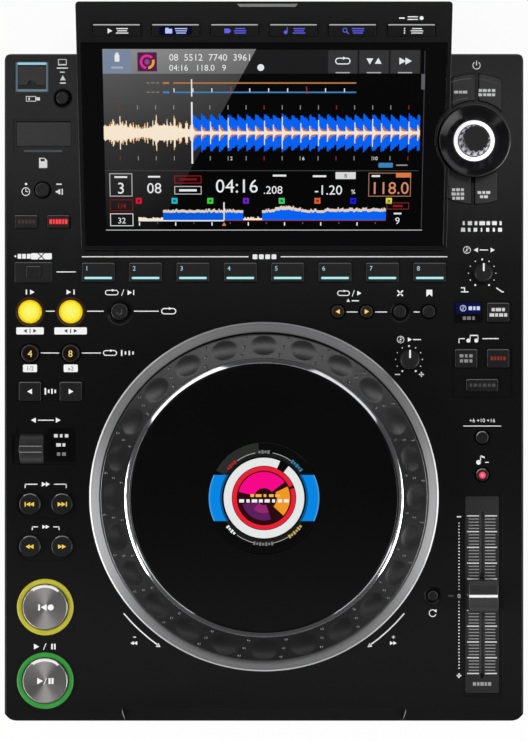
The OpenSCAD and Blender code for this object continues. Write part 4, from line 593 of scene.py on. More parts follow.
contacts = bmesh.new()
CONTACT_W, CONTACT_LEN, CONTACT_PITCH = 0.4 * mm, 9 * mm, 1.02 * mm
for i in range(8):
    middle = Vector((NET_X + (i - 3.5) * CONTACT_PITCH, rear_face - 6 * mm, SOCKET_Z + 4.8 * mm))
    bmesh.ops.create_cube(contacts, size=1, matrix=Matrix.Translation(middle)
                          @ Matrix.Diagonal((CONTACT_W, CONTACT_LEN, CONTACT_W, 1)))
add_piece("network_contacts", contacts, gold)

behind = Matrix.Rotation(math.radians(-90), 4, "X") @ Matrix.Rotation(math.pi, 4, "Z")
rear_marks = Marks()
SIGN_Z = 58.5
for x in (-NET_X / mm, -NET_X / mm - 4):
    rear_marks.ring(x, SIGN_Z, 1.3, 0.9)
rear_marks.bar(-NET_X / mm - 2, SIGN_Z, 1.6, 0.4)
rear_marks.arrow(-DATA_X / mm, SIGN_Z, 2.4, 180)
for i, x in enumerate(PHONO_X):
    rear_marks.figure(str(i + 1), -x / mm, SIGN_Z - 1, 2.6)
rear_marks.piece("rear_legends", printed("rear_ink"), Matrix.Translation((0, rear_face, 0)) @ behind,
                 slot="case")
power_low, power_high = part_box("power_switch")
power_marks = Marks()
power_marks.ring(0, 0, 2.2, 1.8, WHITE, 125, 290)
power_marks.bar(0, 1.5, 0.5, 2.2)
power_marks.piece("power_symbol", printed("power_ink"), Matrix.Translation(
    ((power_low.x + power_high.x) / 2, power_high.y, (power_low.z + power_high.z) / 2)) @ behind,
    "power_switch", "key")


# ------------------------------------------------------------------ boards and metal inside
# Glass fibre boards with green mask, pressed steel sockets, the wheel's spindle and bearing and
# the slider's rail. They stay as the construction has them and get their own finishes.

def clad(finish, *nodes):
    """Gives a finish to CAD nodes that stay as they are."""
    for node in nodes:
        frame["nodes"][node].material_slots[0].material = finish


clad(moulded("board_green", (0.003, 0.016, 0.009), (0.006, 0.032, 0.018), 0.4, 300, 0.00002, 400),
     "circuit_boards", "power_supply")
clad(steel, "media_sockets", "display_module", "jog_spindle", "jog_bearing", "selector_shaft", "slider_rail")


# ------------------------------------------------------------------ display housing
# Gloss black moulded back shell and bezel, screwed to the panel, with a cover glass in the bezel's
# pocket and a bar of bright metal let into the rear edge.

def gloss(name, tone, rough, **more):
    """Polished moulding or glass with faint smears in its gloss."""
    finish, place = new_finish(name)
    smear = place.noise(14, 3, (1, 2.4, 1))
    dust = place.noise(5200, 1)
    return wear(finish, Base_Color=smear.tint(tone, tuple(1.5 * t for t in tone)),
                Roughness=(smear * 0.8 + dust * 0.2).between(rough, rough + 0.05), **more)


display_tilt = math.radians(17.2)
bezel_low, bezel_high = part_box("display_bezel")
display_depth = bezel_high.y - bezel_low.y
display_len = display_depth / math.cos(display_tilt) / mm
front_z = bezel_high.z - display_depth * math.tan(display_tilt)
slope = Matrix.Translation((0, bezel_low.y, front_z)) @ Matrix.Rotation(display_tilt, 4, "X")
shell_black = gloss("shell_black", (0.004, 0.004, 0.0042), 0.22, Specular_IOR_Level=0.4)
bezel_black = gloss("bezel_black", (0.003, 0.003, 0.0032), 0.2, Specular_IOR_Level=0.35)
glass_black = gloss("glass_black", (0.0012, 0.0012, 0.0015), 0.04, Specular_IOR_Level=0.3)
refine("display_back_shell", shell_black, 0.0004)
refine("display_bezel", bezel_black, 0.0004)
refine("display_glass", glass_black, 0.0001, 1)

bright_bar = Marks()
bright_bar.shape([(-18.6, 0.9), (-17.0, -0.9), (17.0, -0.9), (18.6, 0.9)], (0.62, 0.62, 0.62),
                 2.1, display_len - 2.4)
bright_bar.piece("display_bright_bar", moulded("bright_metal", (0.5, 0.5, 0.5), (0.62, 0.62, 0.62), 0.3,
                                               Metallic=1.0), slope, film=0.15)


# ------------------------------------------------------------------ display picture
# The lit picture of the display: a generic player screen of bars, boxes and plain figures, with a
# painted reflection over its left part. It is a stack of thin plates on the face of the glass, each
# with a little gloss of its own.

SCREEN_W, SCREEN_H = 199.0, 114.4
SCREEN_TOP = 126.8
LAYER = 0.02
GLASS_SINK = 0.1
PICTURE_WHITE = (0.85, 0.86, 0.88)
CREAM = (1.0, 0.86, 0.68)
AMBER = (0.86, 0.42, 0.1)
ORANGE = (0.62, 0.2, 0.03)
BLUE = (0.0, 0.13, 0.95)
LINE_BLUE = (0.05, 0.24, 0.55)
DIM = (0.1, 0.1, 0.1)
RED = (0.35, 0.008, 0.012)


def sx(u):
    """The mark's x for a place so many millimetres from the picture's left edge."""
    return u - SCREEN_W / 2


def sy(v):
    """The mark's y for a place so many millimetres from the picture's upper edge."""
    return SCREEN_TOP - v


def tile(u0, v0, u1, v1, colour=PICTURE_WHITE, level=1, line=0.0):
    """Box between two corners of the picture, so many layers up. With a line it is a frame."""
    place = (sx((u0 + u1) / 2), sy((v0 + v1) / 2), u1 - u0, v1 - v0)
    if line:
        picture.frame(*place, line, colour, level * LAYER)
    else:
        picture.bar(*place, colour, 0, level * LAYER)


def digits(text, u, v, size, colour=PICTURE_WHITE, level=1, align="CENTER"):
    """Plain figures at a place of the picture."""
    picture.figure(text, sx(u), sy(v), size, colour, level * LAYER, align)


random.seed(7)
picture = Marks()
tile(0, 0, SCREEN_W, SCREEN_H, (0, 0, 0), 0)
# Heading: source tile, small cover, two rows of figures and three soft keys
tile(0.4, 0.4, 196, 15.2, (0.011, 0.011, 0.012), 0.3)
# A painted reflection of the glass over the left part: grey, paler towards the top and cut off along
# a slanting line. Each row holds a height and the tones at the left edge and at the slanting line.
SHEEN = ((0, 0.3, 0.2), (15.2, 0.24, 0.15), (15.25, 0.1, 0.06), (57, 0.034, 0.02), (114, 0.004, 0.003))
SHEEN_U, SHEEN_SLANT = 94.7, 0.545
for (v0, left0, right0), (v1, left1, right1) in zip(SHEEN, SHEEN[1:]):
    picture.blend([(sx(u), sy(v), (tone,) * 3) for u, v, tone in (
        (0.2, v0, left0), (0.2, v1, left1), (SHEEN_U - SHEEN_SLANT * v1, v1, right1),
        (SHEEN_U - SHEEN_SLANT * v0, v0, right0))], 0.6 * LAYER)
# The source tile is pale partly in its own colour and partly as painted reflection, since the grey reflection
# lies under it.
tile(0.6, 0.6, 17.6, 15.0, (0.2, 0.26, 0.36), 2)
picture.bars((sx(9.1), sy(5.6), 3.0, 4.4, PICTURE_WHITE, 0, 3 * LAYER, 0.5),
             (sx(9.1), sy(2.9), 1.8, 1.4, PICTURE_WHITE, 0, 3 * LAYER),
             (sx(9.1), sy(11.4), 7.4, 1.2, (0.4, 0.45, 0.55), 0, 3 * LAYER, 0.4))
tile(21.6, 2.0, 33.6, 13.8, (0.09, 0.012, 0.06), 2)
for colour, start, sweep in (((0.75, 0.03, 0.35), 40, 220), ((0.9, 0.38, 0.05), 280, 100)):
    picture.ring(sx(27.6), sy(7.9), 4.6, 3.0, colour, start, sweep, 3 * LAYER, 32)
picture.disc(sx(27.6), sy(7.9), 1.7, (0.3, 0.06, 0.28), 3 * LAYER, 20)
digits("08  5512  7740  3961", 41, 5.0, 4.3, level=2, align="LEFT")
digits("04:16   118.0   9", 41, 11.4, 3.9, level=2, align="LEFT")
picture.disc(sx(97.5), sy(11.4), 2.1, PICTURE_WHITE, 2 * LAYER, 24)
for u in (139.0, 158.2, 177.4):
    tile(u, 0.8, u + 18, 15.0, (0.035, 0.035, 0.037), 2)
    tile(u + 4.6, 14.2, u + 13.4, 14.9, (0.45, 0.45, 0.45), 3)
loop_symbol(picture, sx(148), sy(7.4), 9.5, 4.2, PICTURE_WHITE, 3 * LAYER)
for way in (-1, 1):
    picture.arrow(sx(167.2) + way * 2.6, sy(7.4), 4.2, 90 * way, PICTURE_WHITE, 3 * LAYER)
skip_symbol(picture, sx(186.4), sy(7.4), 4.4, 1, False, PICTURE_WHITE, 3 * LAYER)
# Two counter lines with ticks
for v, colour in ((21.0, (0.5, 0.2, 0.07)), (26.8, LINE_BLUE)):
    tile(43.4, v - 0.42, 156.4, v + 0.42, colour)
    for i in range(3):
        tile(27.0 + i * 2.9, v - 0.3, 29.0 + i * 2.9, v + 0.1, (0.4, 0.3, 0.22))
    tile(37.0, v - 0.6, 41.0, v + 0.6, colour)
for i in range(10):
    tall, colour = (1, (0.4, 0.03, 0.08)) if i in (3, 7) else (0, PICTURE_WHITE)
    tile(43.6 + i * 11.7, 24.3 - tall, 44.2 + i * 11.7, 26.6 + tall, colour, 2)
# Wave of the running track as thin columns: cream before the mark, blue, orange and cream after it
MARK_U, WAVE_V, BEAT, COLUMN = 54.8, 52.2, 11.2, 0.55
for i in range(round(196.6 / COLUMN)):
    u = (i + 0.5) * COLUMN
    rough = random.random()
    phase = ((u - MARK_U) / BEAT) % 1
    half = (phase * 2) % 1
    if u < MARK_U:
        swell = 0.75 + 0.25 * math.sin(u * 0.21)
        tall = 4.6 * swell + 4.2 * rough ** 3 + 6 * math.exp(-18 * phase)
        layers = ((tall + 1.6 * random.random() ** 2, AMBER), (tall, CREAM))
    else:
        tall = 11.2 - 4.4 * half + 1.3 * rough
        core = 9.6 * math.exp(-9 * half) * (0.55 + 0.45 * (phase < 0.5)) + 0.9
        layers = ((tall, BLUE), (max(core, 4.8 * math.exp(-2.2 * half) + rough), ORANGE), (core, CREAM))
    for n, (h, colour) in enumerate(layers):
        picture.bar(sx(u), sy(WAVE_V), COLUMN * 1.02, 2 * h, colour, 0, (n + 1) * LAYER)
# A tick above and below the wave on each beat, red on the first of four
for i in range(-4, 13):
    u = MARK_U + i * BEAT
    if 1 < u < 195 and i:
        for v in (36.2, 68.2):
            tile(u - 0.25, v - 1.3, u + 0.25, v + 1.3, (0.3, 0.3, 0.3) if i % 4 else (0.3, 0.02, 0.03), 4)
for i, text in ((2, "2"), (6, "6"), (10, "10")):
    digits(text, MARK_U + i * BEAT + 2.0, 68.2, 2.3, level=4)
tile(MARK_U - 0.5, 32.8, MARK_U + 0.5, 71.6, (0.95, 0.9, 0.88), 5)
tile(MARK_U - 0.4, 18.6, MARK_U + 0.4, 29.4, PICTURE_WHITE, 4)
picture.bar(sx(175.4), sy(72.6), 9.0, 3.0, LINE_BLUE, 0, LAYER, 0.6)
# Boxes and figures of the running track
for row in ((182.0, 72.2, 189.0, 73.0, (0.3, 0.3, 0.3)), (0, 75.9, 196, 76.3, (0.06, 0.06, 0.06)),
            (2.8, 77.7, 17.2, 92.6, (0.42, 0.42, 0.42), 1, 0.6), (6.0, 79.6, 14.0, 80.7),
            (27.0, 79.4, 34.6, 80.5), (43.4, 79.2, 60.4, 84.2, RED, 1, 0.45),
            (46.4, 81.0, 57.4, 82.3, (0.22, 0.006, 0.01)), (43.4, 85.9, 60.4, 91.2, (0.6, 0.6, 0.6), 1, 0.45),
            (46.4, 87.9, 57.4, 89.3), (105.0, 78.6, 113.4, 79.8), (130.0, 79.0, 138.4, 80.2),
            (144.2, 77.0, 156.8, 81.4, (0.75, 0.75, 0.75)), (166.8, 78.9, 172.0, 80.1),
            (164.8, 77.4, 191.4, 92.6, (0.36, 0.17, 0.1), 1, 0.5),
            (182.0, 77.4, 191.4, 80.4, (0.75, 0.2, 0.06), 2),
            (2.8, 94.4, 17.4, 102.0, (0.2, 0.006, 0.01), 1, 0.5),
            (2.8, 103.4, 17.4, 111.6, (0.75, 0.75, 0.75), 1, 0.5),
            (181.0, 103.0, 185.8, 104.0), (176.4, 96.4, 190.4, 100.8, (0.22, 0.03, 0.02), 1, 0.4),
            (180.4, 98.0, 186.4, 99.2, RED)):
    tile(*row)
for row in (("3", 10.0, 87.0, 7.4), ("08", 30.8, 87.0, 6.9),
            ("04:16", 69.0, 85.6, 8.9, PICTURE_WHITE, 1, "LEFT"),
            (".208", 99.0, 88.2, 5.2, PICTURE_WHITE, 1, "LEFT"), ("8", 150.5, 79.2, 2.7, (0, 0, 0), 2),
            ("-1.20", 131.0, 88.2, 6.3, PICTURE_WHITE, 1, "LEFT"), ("%", 155.4, 89.4, 2.9),
            ("118.0", 178.2, 86.9, 8.0, (0.72, 0.27, 0.13)), ("1/4", 10.1, 98.6, 3.4, RED),
            ("32", 10.1, 107.9, 3.8), ("9", 183.4, 108.0, 4.6)):
    digits(*row)
# Overview of the whole track with eight coloured marks
OVER_U0, OVER_U1, OVER_BASE, PLAYED_U = 20.6, 176.0, 107.7, 74.4
OVER_COLUMNS = 210
column = (OVER_U1 - OVER_U0) / OVER_COLUMNS
for i in range(OVER_COLUMNS):
    u = OVER_U0 + column * (i + 0.5)
    t = i / OVER_COLUMNS
    quiet = t < 0.1 or 0.42 < t < 0.5
    tall = (1.0 if quiet else 6.2 if t < 0.75 else 7.0) + 1.2 * random.random() ** 2
    tall += 2.4 * math.exp(-((t - 0.6) / 0.05) ** 2)
    picture.bar(sx(u), sy(OVER_BASE) + tall / 2, column * 1.03, tall,
                CREAM if quiet else (0.8, 0.68, 0.55), 0, LAYER)
    if not quiet:
        picture.bar(sx(u), sy(OVER_BASE) + tall * 0.37, column * 1.03, tall * 0.74,
                    (0.0, 0.11, 0.75) if u < PLAYED_U else BLUE, 0, 2 * LAYER)
tile(OVER_U0, OVER_BASE, PLAYED_U, OVER_BASE + 0.8, PICTURE_WHITE, 2)
tile(PLAYED_U, OVER_BASE, OVER_U1, OVER_BASE + 0.5, (0.3, 0.03, 0.03), 2)
tile(PLAYED_U - 0.4, OVER_BASE - 11.4, PLAYED_U + 0.4, OVER_BASE, PICTURE_WHITE, 3)
picture.arrow(sx(PLAYED_U), sy(OVER_BASE + 2.6), 2.6, 90, (0.6, 0.25, 0.08), 3 * LAYER)
for i in range(14):
    u = OVER_U0 + 0.6 + i * 11.4
    tall, colour = (1, DIM) if i % 2 else (2.2, PICTURE_WHITE)
    tile(u - 0.35, OVER_BASE + 1.4, u + 0.35, OVER_BASE + 1.4 + tall, colour)
CUE_COLOURS = ((0.7, 0.01, 0.04), (0.02, 0.5, 0.62), (0.05, 0.7, 0.06), (0.16, 0.02, 0.6), (0.06, 0.62, 0.16),
               (0.8, 0.12, 0.03), (0.01, 0.01, 0.8), (0.8, 0.78, 0.08))
for i, colour in enumerate(CUE_COLOURS):
    picture.bar(sx(21.0 + i * 22.4), sy(95.3), 3.7, 3.7, colour, 0, LAYER)
    picture.bar(sx(21.0 + i * 22.4), sy(95.3), 1.5, 1.5, tuple(0.25 * c for c in colour), 0, 2 * LAYER)
tile(0, 113.9, SCREEN_W, 114.4, (0.55, 0.55, 0.55))
tile(198.2, 1, 198.7, 113, (0.05, 0.05, 0.06))
tile(196.6, 15.4, 198.8, 25, (0.12, 0.12, 0.13), 2)
picture_place = slope @ Matrix.Translation((0, 0, -GLASS_SINK * mm))
picture.piece("display_picture", lit("screen_light", 0.3), picture_place, slot="glass")


# ------------------------------------------------------------------ keys along the display
# Six gloss black keys, pressed straight into the slope, each with a grey line along its rear edge
# that is a painted highlight. Their symbols are lit from behind: two white, one bright blue and three dim
# blue.

display_key_black = gloss("display_key_black", (0.004, 0.004, 0.0042), 0.16, Specular_IOR_Level=0.35)
refine("display_keys", display_key_black, 0.0003)
KEY_PITCH = 36.1
KEY_PROUD = 1.2
key_row = display_len - 17.4
symbol_y = key_row - 0.4
key_marks = Marks()
LIT_BLUE, DIM_BLUE = (0.5, 0.6, 1.0), (0.14, 0.13, 0.85)
for i, colour in enumerate((WHITE, LIT_BLUE, DIM_BLUE, DIM_BLUE, DIM_BLUE, WHITE)):
    x = (i - 2.5) * KEY_PITCH
    # Painted highlight: a grey line along the rear edge of each key, drawn in the same glowing finish as the
    # symbols.
    key_marks.bar(x, key_row + 3.3, 28.4, 0.7, (0.5, 0.5, 0.5))
    if i == 1:
        key_marks.bar(x, symbol_y, 20, 5.2, (0.0, 0.0, 0.02), 0, 0.005, 1)
    for n in range(3):
        w = (7.6, 6.0, 7.0)[(n + i) % 3]
        key_marks.bar(x + 3.4, symbol_y + (n - 1) * 1.35, w, 0.6, colour, 0, 0.02)
# Beside those lines: an arrow, a folder, a tag, a note, a lens and three dots
symbol_x = [(i - 2.5) * KEY_PITCH - 4.2 for i in range(6)]
key_marks.arrow(symbol_x[0], symbol_y, 3.2, 0, WHITE, 0.02)
key_marks.shape([(-2, -1.4), (0.8, -1.4), (2.2, 0), (0.8, 1.4), (-2, 1.4)], DIM_BLUE, symbol_x[2], symbol_y,
                0.02)
key_marks.disc(symbol_x[3] - 0.6, key_row - 1.3, 1.1, DIM_BLUE, 0.02, 16)
key_marks.ring(symbol_x[4] - 0.4, key_row, 1.5, 1.0, DIM_BLUE, 0, 360, 0.02, 24)
key_marks.bars((symbol_x[1], key_row - 0.6, 4.2, 2.8, LIT_BLUE, 0, 0.02),
               (symbol_x[1] - 1.0, key_row + 1.1, 2.0, 0.7, LIT_BLUE, 0, 0.02),
               (symbol_x[3] + 0.3, key_row + 0.2, 0.45, 3.0, DIM_BLUE, 0, 0.02),
               (symbol_x[4] + 1.2, key_row - 1.5, 2.2, 0.6, DIM_BLUE, -45, 0.02))
for n in (-1, 0, 1):
    key_marks.disc(symbol_x[5], symbol_y + n * 1.35, 0.45, WHITE, 0.02, 12)
key_marks.piece("display_key_symbols", lit("key_symbols_and_painted_highlight"),
                slope @ Matrix.Translation((0, 0, KEY_PROUD * mm)), "display_keys", "key")
bezel_marks = Marks()
bezel_marks.bars((84.4, key_row + 7.2, 3.4, 0.8), (91.0, key_row + 8.0, 6.4, 0.6),
                 (91.0, key_row + 6.4, 6.4, 0.6))
bezel_marks.disc(96.4, key_row + 7.2, 1.2, WHITE, 0, 18)
bezel_marks.piece("bezel_legends", silk_ink, slope, film=0.04)


# ------------------------------------------------------------------ jog wheel
# Fixed satin aluminium ring, a moulded dial with finger dimples in its rim, a chromed trim ring and
# a gloss black touch plate. Dial and trim turn together on the spindle, the plate rides on top.

JOG = Matrix.Translation((0, JOG_Y * mm, 0))


def lathe(points, steps, place=None):
    """A closed bmesh spun about Z from a closed profile of (radius, height) pairs in millimetres.

    A sixteenth is spun and doubled four times; steps is a multiple of 16."""
    bm = bmesh.new()
    ring = [bm.verts.new((r * mm, 0, z * mm)) for r, z in points]
    sides = [bm.edges.new((a, b)) for a, b in zip(ring, ring[1:] + ring[:1])]
    part = math.pi / 8
    bmesh.ops.spin(bm, geom=ring + sides, cent=(0, 0, 0), axis=(0, 0, 1), dvec=(0, 0, 0), angle=part,
                   steps=steps // 16, use_merge=False, use_duplicate=False)
    while part < 6:
        twin = bmesh.ops.duplicate(bm, geom=[*bm.verts, *bm.edges, *bm.faces])["geom"]
        bmesh.ops.rotate(bm, cent=(0, 0, 0), matrix=Matrix.Rotation(part, 3, "Z"),
                         verts=[v for v in twin if isinstance(v, bmesh.types.BMVert)])
        part *= 2
    bmesh.ops.remove_doubles(bm, verts=bm.verts, dist=0.000002)
    bmesh.ops.recalc_face_normals(bm, faces=bm.faces)
    if place:
        bmesh.ops.transform(bm, matrix=place, verts=bm.verts)
    return bm


def rounding(r, z, radius, first, last, count=5):
    """Points of an arc in a profile, from one angle to another in degrees."""
    turns = [math.radians(first + (last - first) * i / (count - 1)) for i in range(count)]
    return [(r + radius * math.cos(t), z + radius * math.sin(t)) for t in turns]


def turned(name, dark, bright, rough, pitch, depth, centre, **more):
    """Metal or moulding with fine rings about the upright axis through the centre."""
    finish, place = new_finish(name)
    shifted = place - (centre[0] * mm, centre[1] * mm, 0)
    flat = shifted.node("VectorMath", {"operation": "MULTIPLY"}, {0: shifted, 1: (1, 1, 0)})
    radius = flat.node("VectorMath", {"operation": "LENGTH"}, {0: flat}, out=1)
    streak = radius.node("TexNoise", {"noise_dimensions": "1D"},
                         {"W": radius, "Scale": 1 / pitch, "Detail": 2.0})
    grain = place.noise(1800, 2)
    return wear(finish, Base_Color=streak.tint(dark, bright),
                Roughness=(streak * 0.6 + grain * 0.4).between(rough - 0.05, rough + 0.06),
                Normal=(streak * 0.7 + grain * 0.3).bump(depth), **more)


ring_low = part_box("jog_surround_ring")[0].z / mm
dial_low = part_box("jog_dial")[0].z / mm
RING_R, RING_IN, RING_TOP = 110.5, 104.0, 70.0
ring_metal = turned("ring_metal", (0.5, 0.5, 0.51), (0.6, 0.6, 0.61), 0.54, 0.0012, 0.000006, (0, JOG_Y),
                    Metallic=1.0, Anisotropic=0.85, Anisotropic_Rotation=0.25)
ring_profile = [(RING_IN, ring_low), (105.5, ring_low), (105.5, 66), (RING_R, 66), (RING_R, RING_TOP - 1.1),
                (RING_R - 1.0, RING_TOP), (RING_R - 1.25, RING_TOP), (RING_R - 1.4, RING_TOP - 0.25),
                (RING_R - 1.6, RING_TOP - 0.05), (RING_IN + 0.4, RING_TOP - 0.5), (RING_IN, RING_TOP - 0.9)]
jog_ring = add_piece("jog_ring", lathe(ring_profile, 352, JOG), ring_metal,
                     replaces=["jog_surround_ring"], sharp=20)
ring_edge = turned("ring_edge", (0.78, 0.78, 0.79), (0.9, 0.9, 0.9), 0.45, 0.0008, 0.000001, (0, JOG_Y),
                   Metallic=1.0)
dress(jog_ring, ring_edge,
      lambda c, n: math.hypot(c.x, c.y - JOG_Y * mm) > (RING_R - 1.05) * mm and n.z > 0.3)

# The dial's flat top has many fine rings, so that its dimples can sink in softly
DIAL_R, DIAL_FLAT_R, DIAL_TOP, DIAL_IN, DIAL_FALL = 102.8, 102.2, 80.0, 87.3, 1.3
DIAL_CORNER, DIAL_CORNER_Z, FLAT_RINGS = 0.5, 78.15, 34
DIMPLES, DIMPLE_R, DIMPLE_DEPTH, DIMPLE_HALF_W, DIMPLE_HALF_L = 24, 95.5, 0.5, 8.3, 6.1
dial_profile = [(21.05, dial_low), (27, dial_low), (27, 66), (98.8, 66), (98.8, 62), (DIAL_R, 62)]
dial_profile += rounding(DIAL_R - DIAL_CORNER, DIAL_CORNER_Z, DIAL_CORNER, 0, 80, 4)
dial_profile += [(DIAL_FLAT_R - (DIAL_FLAT_R - DIAL_IN - 0.3) * i / FLAT_RINGS,
                  DIAL_TOP - DIAL_FALL * (1 - i / FLAT_RINGS)) for i in range(FLAT_RINGS + 1)]
dial_profile += [(DIAL_IN, DIAL_TOP - 0.3), (DIAL_IN, 76.5), (84.4, 76.5), (84.4, 69), (21.05, 69)]
dial = lathe(dial_profile, 720)
pitch = 2 * math.pi / DIMPLES
for vert in dial.verts:
    r = math.hypot(vert.co.x, vert.co.y) / mm
    if vert.co.z > (DIAL_CORNER_Z + DIAL_CORNER) * mm and r > DIAL_IN + 0.1:
        off = (math.atan2(vert.co.x, vert.co.y) + pitch / 2) % pitch - pitch / 2
        reach = (off * r / DIMPLE_HALF_W) ** 2 + ((r - DIMPLE_R) / DIMPLE_HALF_L) ** 2
        if reach < 1:
            vert.co.z -= DIMPLE_DEPTH * mm * (1 - reach)
bmesh.ops.transform(dial, matrix=JOG, verts=dial.verts)
dial_black = moulded("dial_black", (0.0015, 0.0015, 0.0018), (0.0034, 0.0034, 0.004), 0.25, 2600, 0.00001, 25,
                     Specular_IOR_Level=0.9)
dot_black = moulded("dot_black", (0.003, 0.003, 0.0034), (0.006, 0.006, 0.0068), 0.16, 2600, 0.000002, 25,
                    Specular_IOR_Level=1.0)
add_piece("jog_dial_finished", dial, dial_black, "jog_dial", ["jog_dial"], 35)

# Three dots in a slightly slanting row between each pair of dimples
DOT_R, DOT_RADII, DOT_SLANT = 1.15, (90.0, 95.2, 100.4), 0.0047
dots = bmesh.new()
for i in range(DIMPLES):
    for r in DOT_RADII:
        turn = JOG @ Matrix.Rotation(pitch * (i + 0.5) - DOT_SLANT * (r - DOT_RADII[1]), 4, "Z")
        drop = DIAL_FALL * (r - DIAL_IN) / (DIAL_FLAT_R - DIAL_IN)
        bmesh.ops.create_uvsphere(dots, u_segments=12, v_segments=6, radius=DOT_R * mm, matrix=turn
                                  @ Matrix.Translation((0, r * mm, (DIAL_TOP - drop) * mm))
                                  @ Matrix.Diagonal((1, 1, 0.75, 1)))
add_piece("jog_dial_dots", dots, dot_black, "jog_dial", sharp=80)

chrome = turned("chrome", (0.62, 0.62, 0.65), (0.7, 0.7, 0.72), 0.08, 0.0006, 0.0000005, (0, JOG_Y),
                Metallic=1.0)
TRIM_IN, TRIM_R, TRIM_TOP, TRIM_FALL, TRIM_FOOT = 84.4, 87.25, 83.6, 1.15, 76.5
trim_profile = [(TRIM_IN, TRIM_FOOT), (TRIM_R, TRIM_FOOT),
                *rounding(TRIM_R - 0.1, TRIM_TOP - TRIM_FALL, 0.1, 0, 68, 4),
                *rounding(TRIM_IN + 0.12, TRIM_TOP - 0.12, 0.12, 68, 180, 5)]
add_piece("jog_trim_finished", lathe(trim_profile, 480, JOG), chrome, "jog_dial",
          ["jog_trim_ring"], 12)

plate_black = gloss("plate_black", (0.001, 0.001, 0.0011), 0.18, Specular_IOR_Level=0.15)
refine("jog_plate", plate_black, 0.0003)


# ------------------------------------------------------------------ jog window
# Still round display in the middle of the wheel: a ring for the position, a red ring for the cue, a
# picture of plain coloured sectors and two blue segments, all lit behind a black glass.

refine("jog_display", glass_black)
HUB_BLUE, HUB_RIM, HUB_DEEP = (0.0, 0.24, 0.78), (0.07, 0.36, 0.82), (0.0, 0.09, 0.3)
HUB_HALF_H = 14.4


def cropped_ring(marks, r, r_in, half_h, side, colour, lift, steps=24):
    """Sector of a ring on the left or right, cut off level above and below."""
    outline = []
    for radius, way in ((r, 1), (r_in, -1)):
        reach = math.asin(half_h / radius) * way
        outline += [(side * radius * math.cos(reach * (2 * i / steps - 1)),
                     radius * math.sin(reach * (2 * i / steps - 1))) for i in range(steps + 1)]
    marks.shape(outline, colour, 0, 0, lift)


hub = Marks()
HUB_R, HUB_IN = 34.6, 26.4
hub.ring(0, 0, HUB_R, 28.0, (0.022, 0.024, 0.022), 96, 54, LAYER, 96)
hub.ring(0, 0, 28.2, 26.2, (0.009, 0.01, 0.009), 0, 360, LAYER, 96)
for side in (-1, 1):
    for r, r_in, colour, level in ((HUB_R, HUB_IN, HUB_BLUE, 2), (HUB_R, 33.9, HUB_RIM, 3),
                                   (27.6, HUB_IN, HUB_DEEP, 3)):
        cropped_ring(hub, r, r_in, HUB_HALF_H, side, colour, level * LAYER)
hub.disc(0, 0, 26.0, (0.001, 0.001, 0.001), 4 * LAYER, 96)
hub.disc(0, 0, 16.9, (0.022, 0.001, 0.002), 5 * LAYER, 64)
# Position and cue rings, then the sectors of the cover
for r, r_in, colour, start, sweep, level, steps in (
        (25.2, 20.2, (0.8, 0.83, 0.82), 66.3, 346.2, 5, 144),
        (19.8, 17.1, (0.85, 0.012, 0.035), 23.5, 355, 5, 128),
        (16.3, 6.2, (0.95, 0.0, 0.25), 38, 128, 6, 72), (16.3, 8.0, (0.9, 0.32, 0.015), -42, 68, 6, 72),
        (14.0, 4.4, (0.11, 0.012, 0.11), 196, 92, 6, 72), (9.5, 4.4, (0.3, 0.02, 0.16), 226, 62, 7, 72)):
    hub.ring(0, 0, r, r_in, colour, start, sweep, level * LAYER, steps)
hub.blocks(-7.4, 1.5, (2.2, 3.6, 1.6, 2.8, 3.2), 4.0, 1.7, (0.95, 0.5, 0.06), 8 * LAYER)
hub.blocks(-14.0, -1.8, (3.0, 2.0, 3.4, 2.4, 3.2, 1.8, 2.6, 3.0), 4.0, 2.0, (0.9, 0.88, 0.9), 8 * LAYER)
# Six words round it stand as rows of strokes, with thin arcs between them
WORD_R = 28.9
for start in (54, 101, 234, 281):
    hub.ring(0, 0, WORD_R, WORD_R - 0.4, (0.42, 0.42, 0.42), start, 25, 3 * LAYER, 128)
for middle, count, colour in ((134.7, 4, (0.42, 0.02, 0.03)), (90, 4, (0.2, 0.2, 0.2)),
                              (44.6, 5, (0.03, 0.24, 0.42)), (224.2, 4, PICTURE_WHITE),
                              (269, 7, (0.2, 0.2, 0.2)), (313, 6, (0.55, 0.4, 0.12))):
    for i in range(count):
        angle = middle + (i - (count - 1) / 2) * 3.7
        hub.bar(WORD_R * math.cos(math.radians(angle)), WORD_R * math.sin(math.radians(angle)), 1.3,
                (2.2, 1.5)[i % 2], colour, angle - 90, 4 * LAYER)
hub.piece("jog_picture", lit("hub_light", 0.12), top_of("jog_display"), slot="gloss_black")


# ------------------------------------------------------------------ cue and play buttons
# Round caps of turned aluminium that move straight down, each inside a translucent ring lit from
# behind, with a painted highlight on the rear of each cap's rounded edge. The third light ring, round
# the selector, is the same moulding in white.

def ring_light(name, colour, deep, strength):
    """Milky moulding with light behind it, in soft patches of two close tones."""
    finish, place = new_finish(name)
    soft = place.noise(160, 2)
    return wear(finish, Base_Color=soft.tint(deep, colour), Roughness=place.noise(900, 1).between(0.3, 0.42),
                Emission_Color=soft.tint(deep, colour), Emission_Strength=strength)


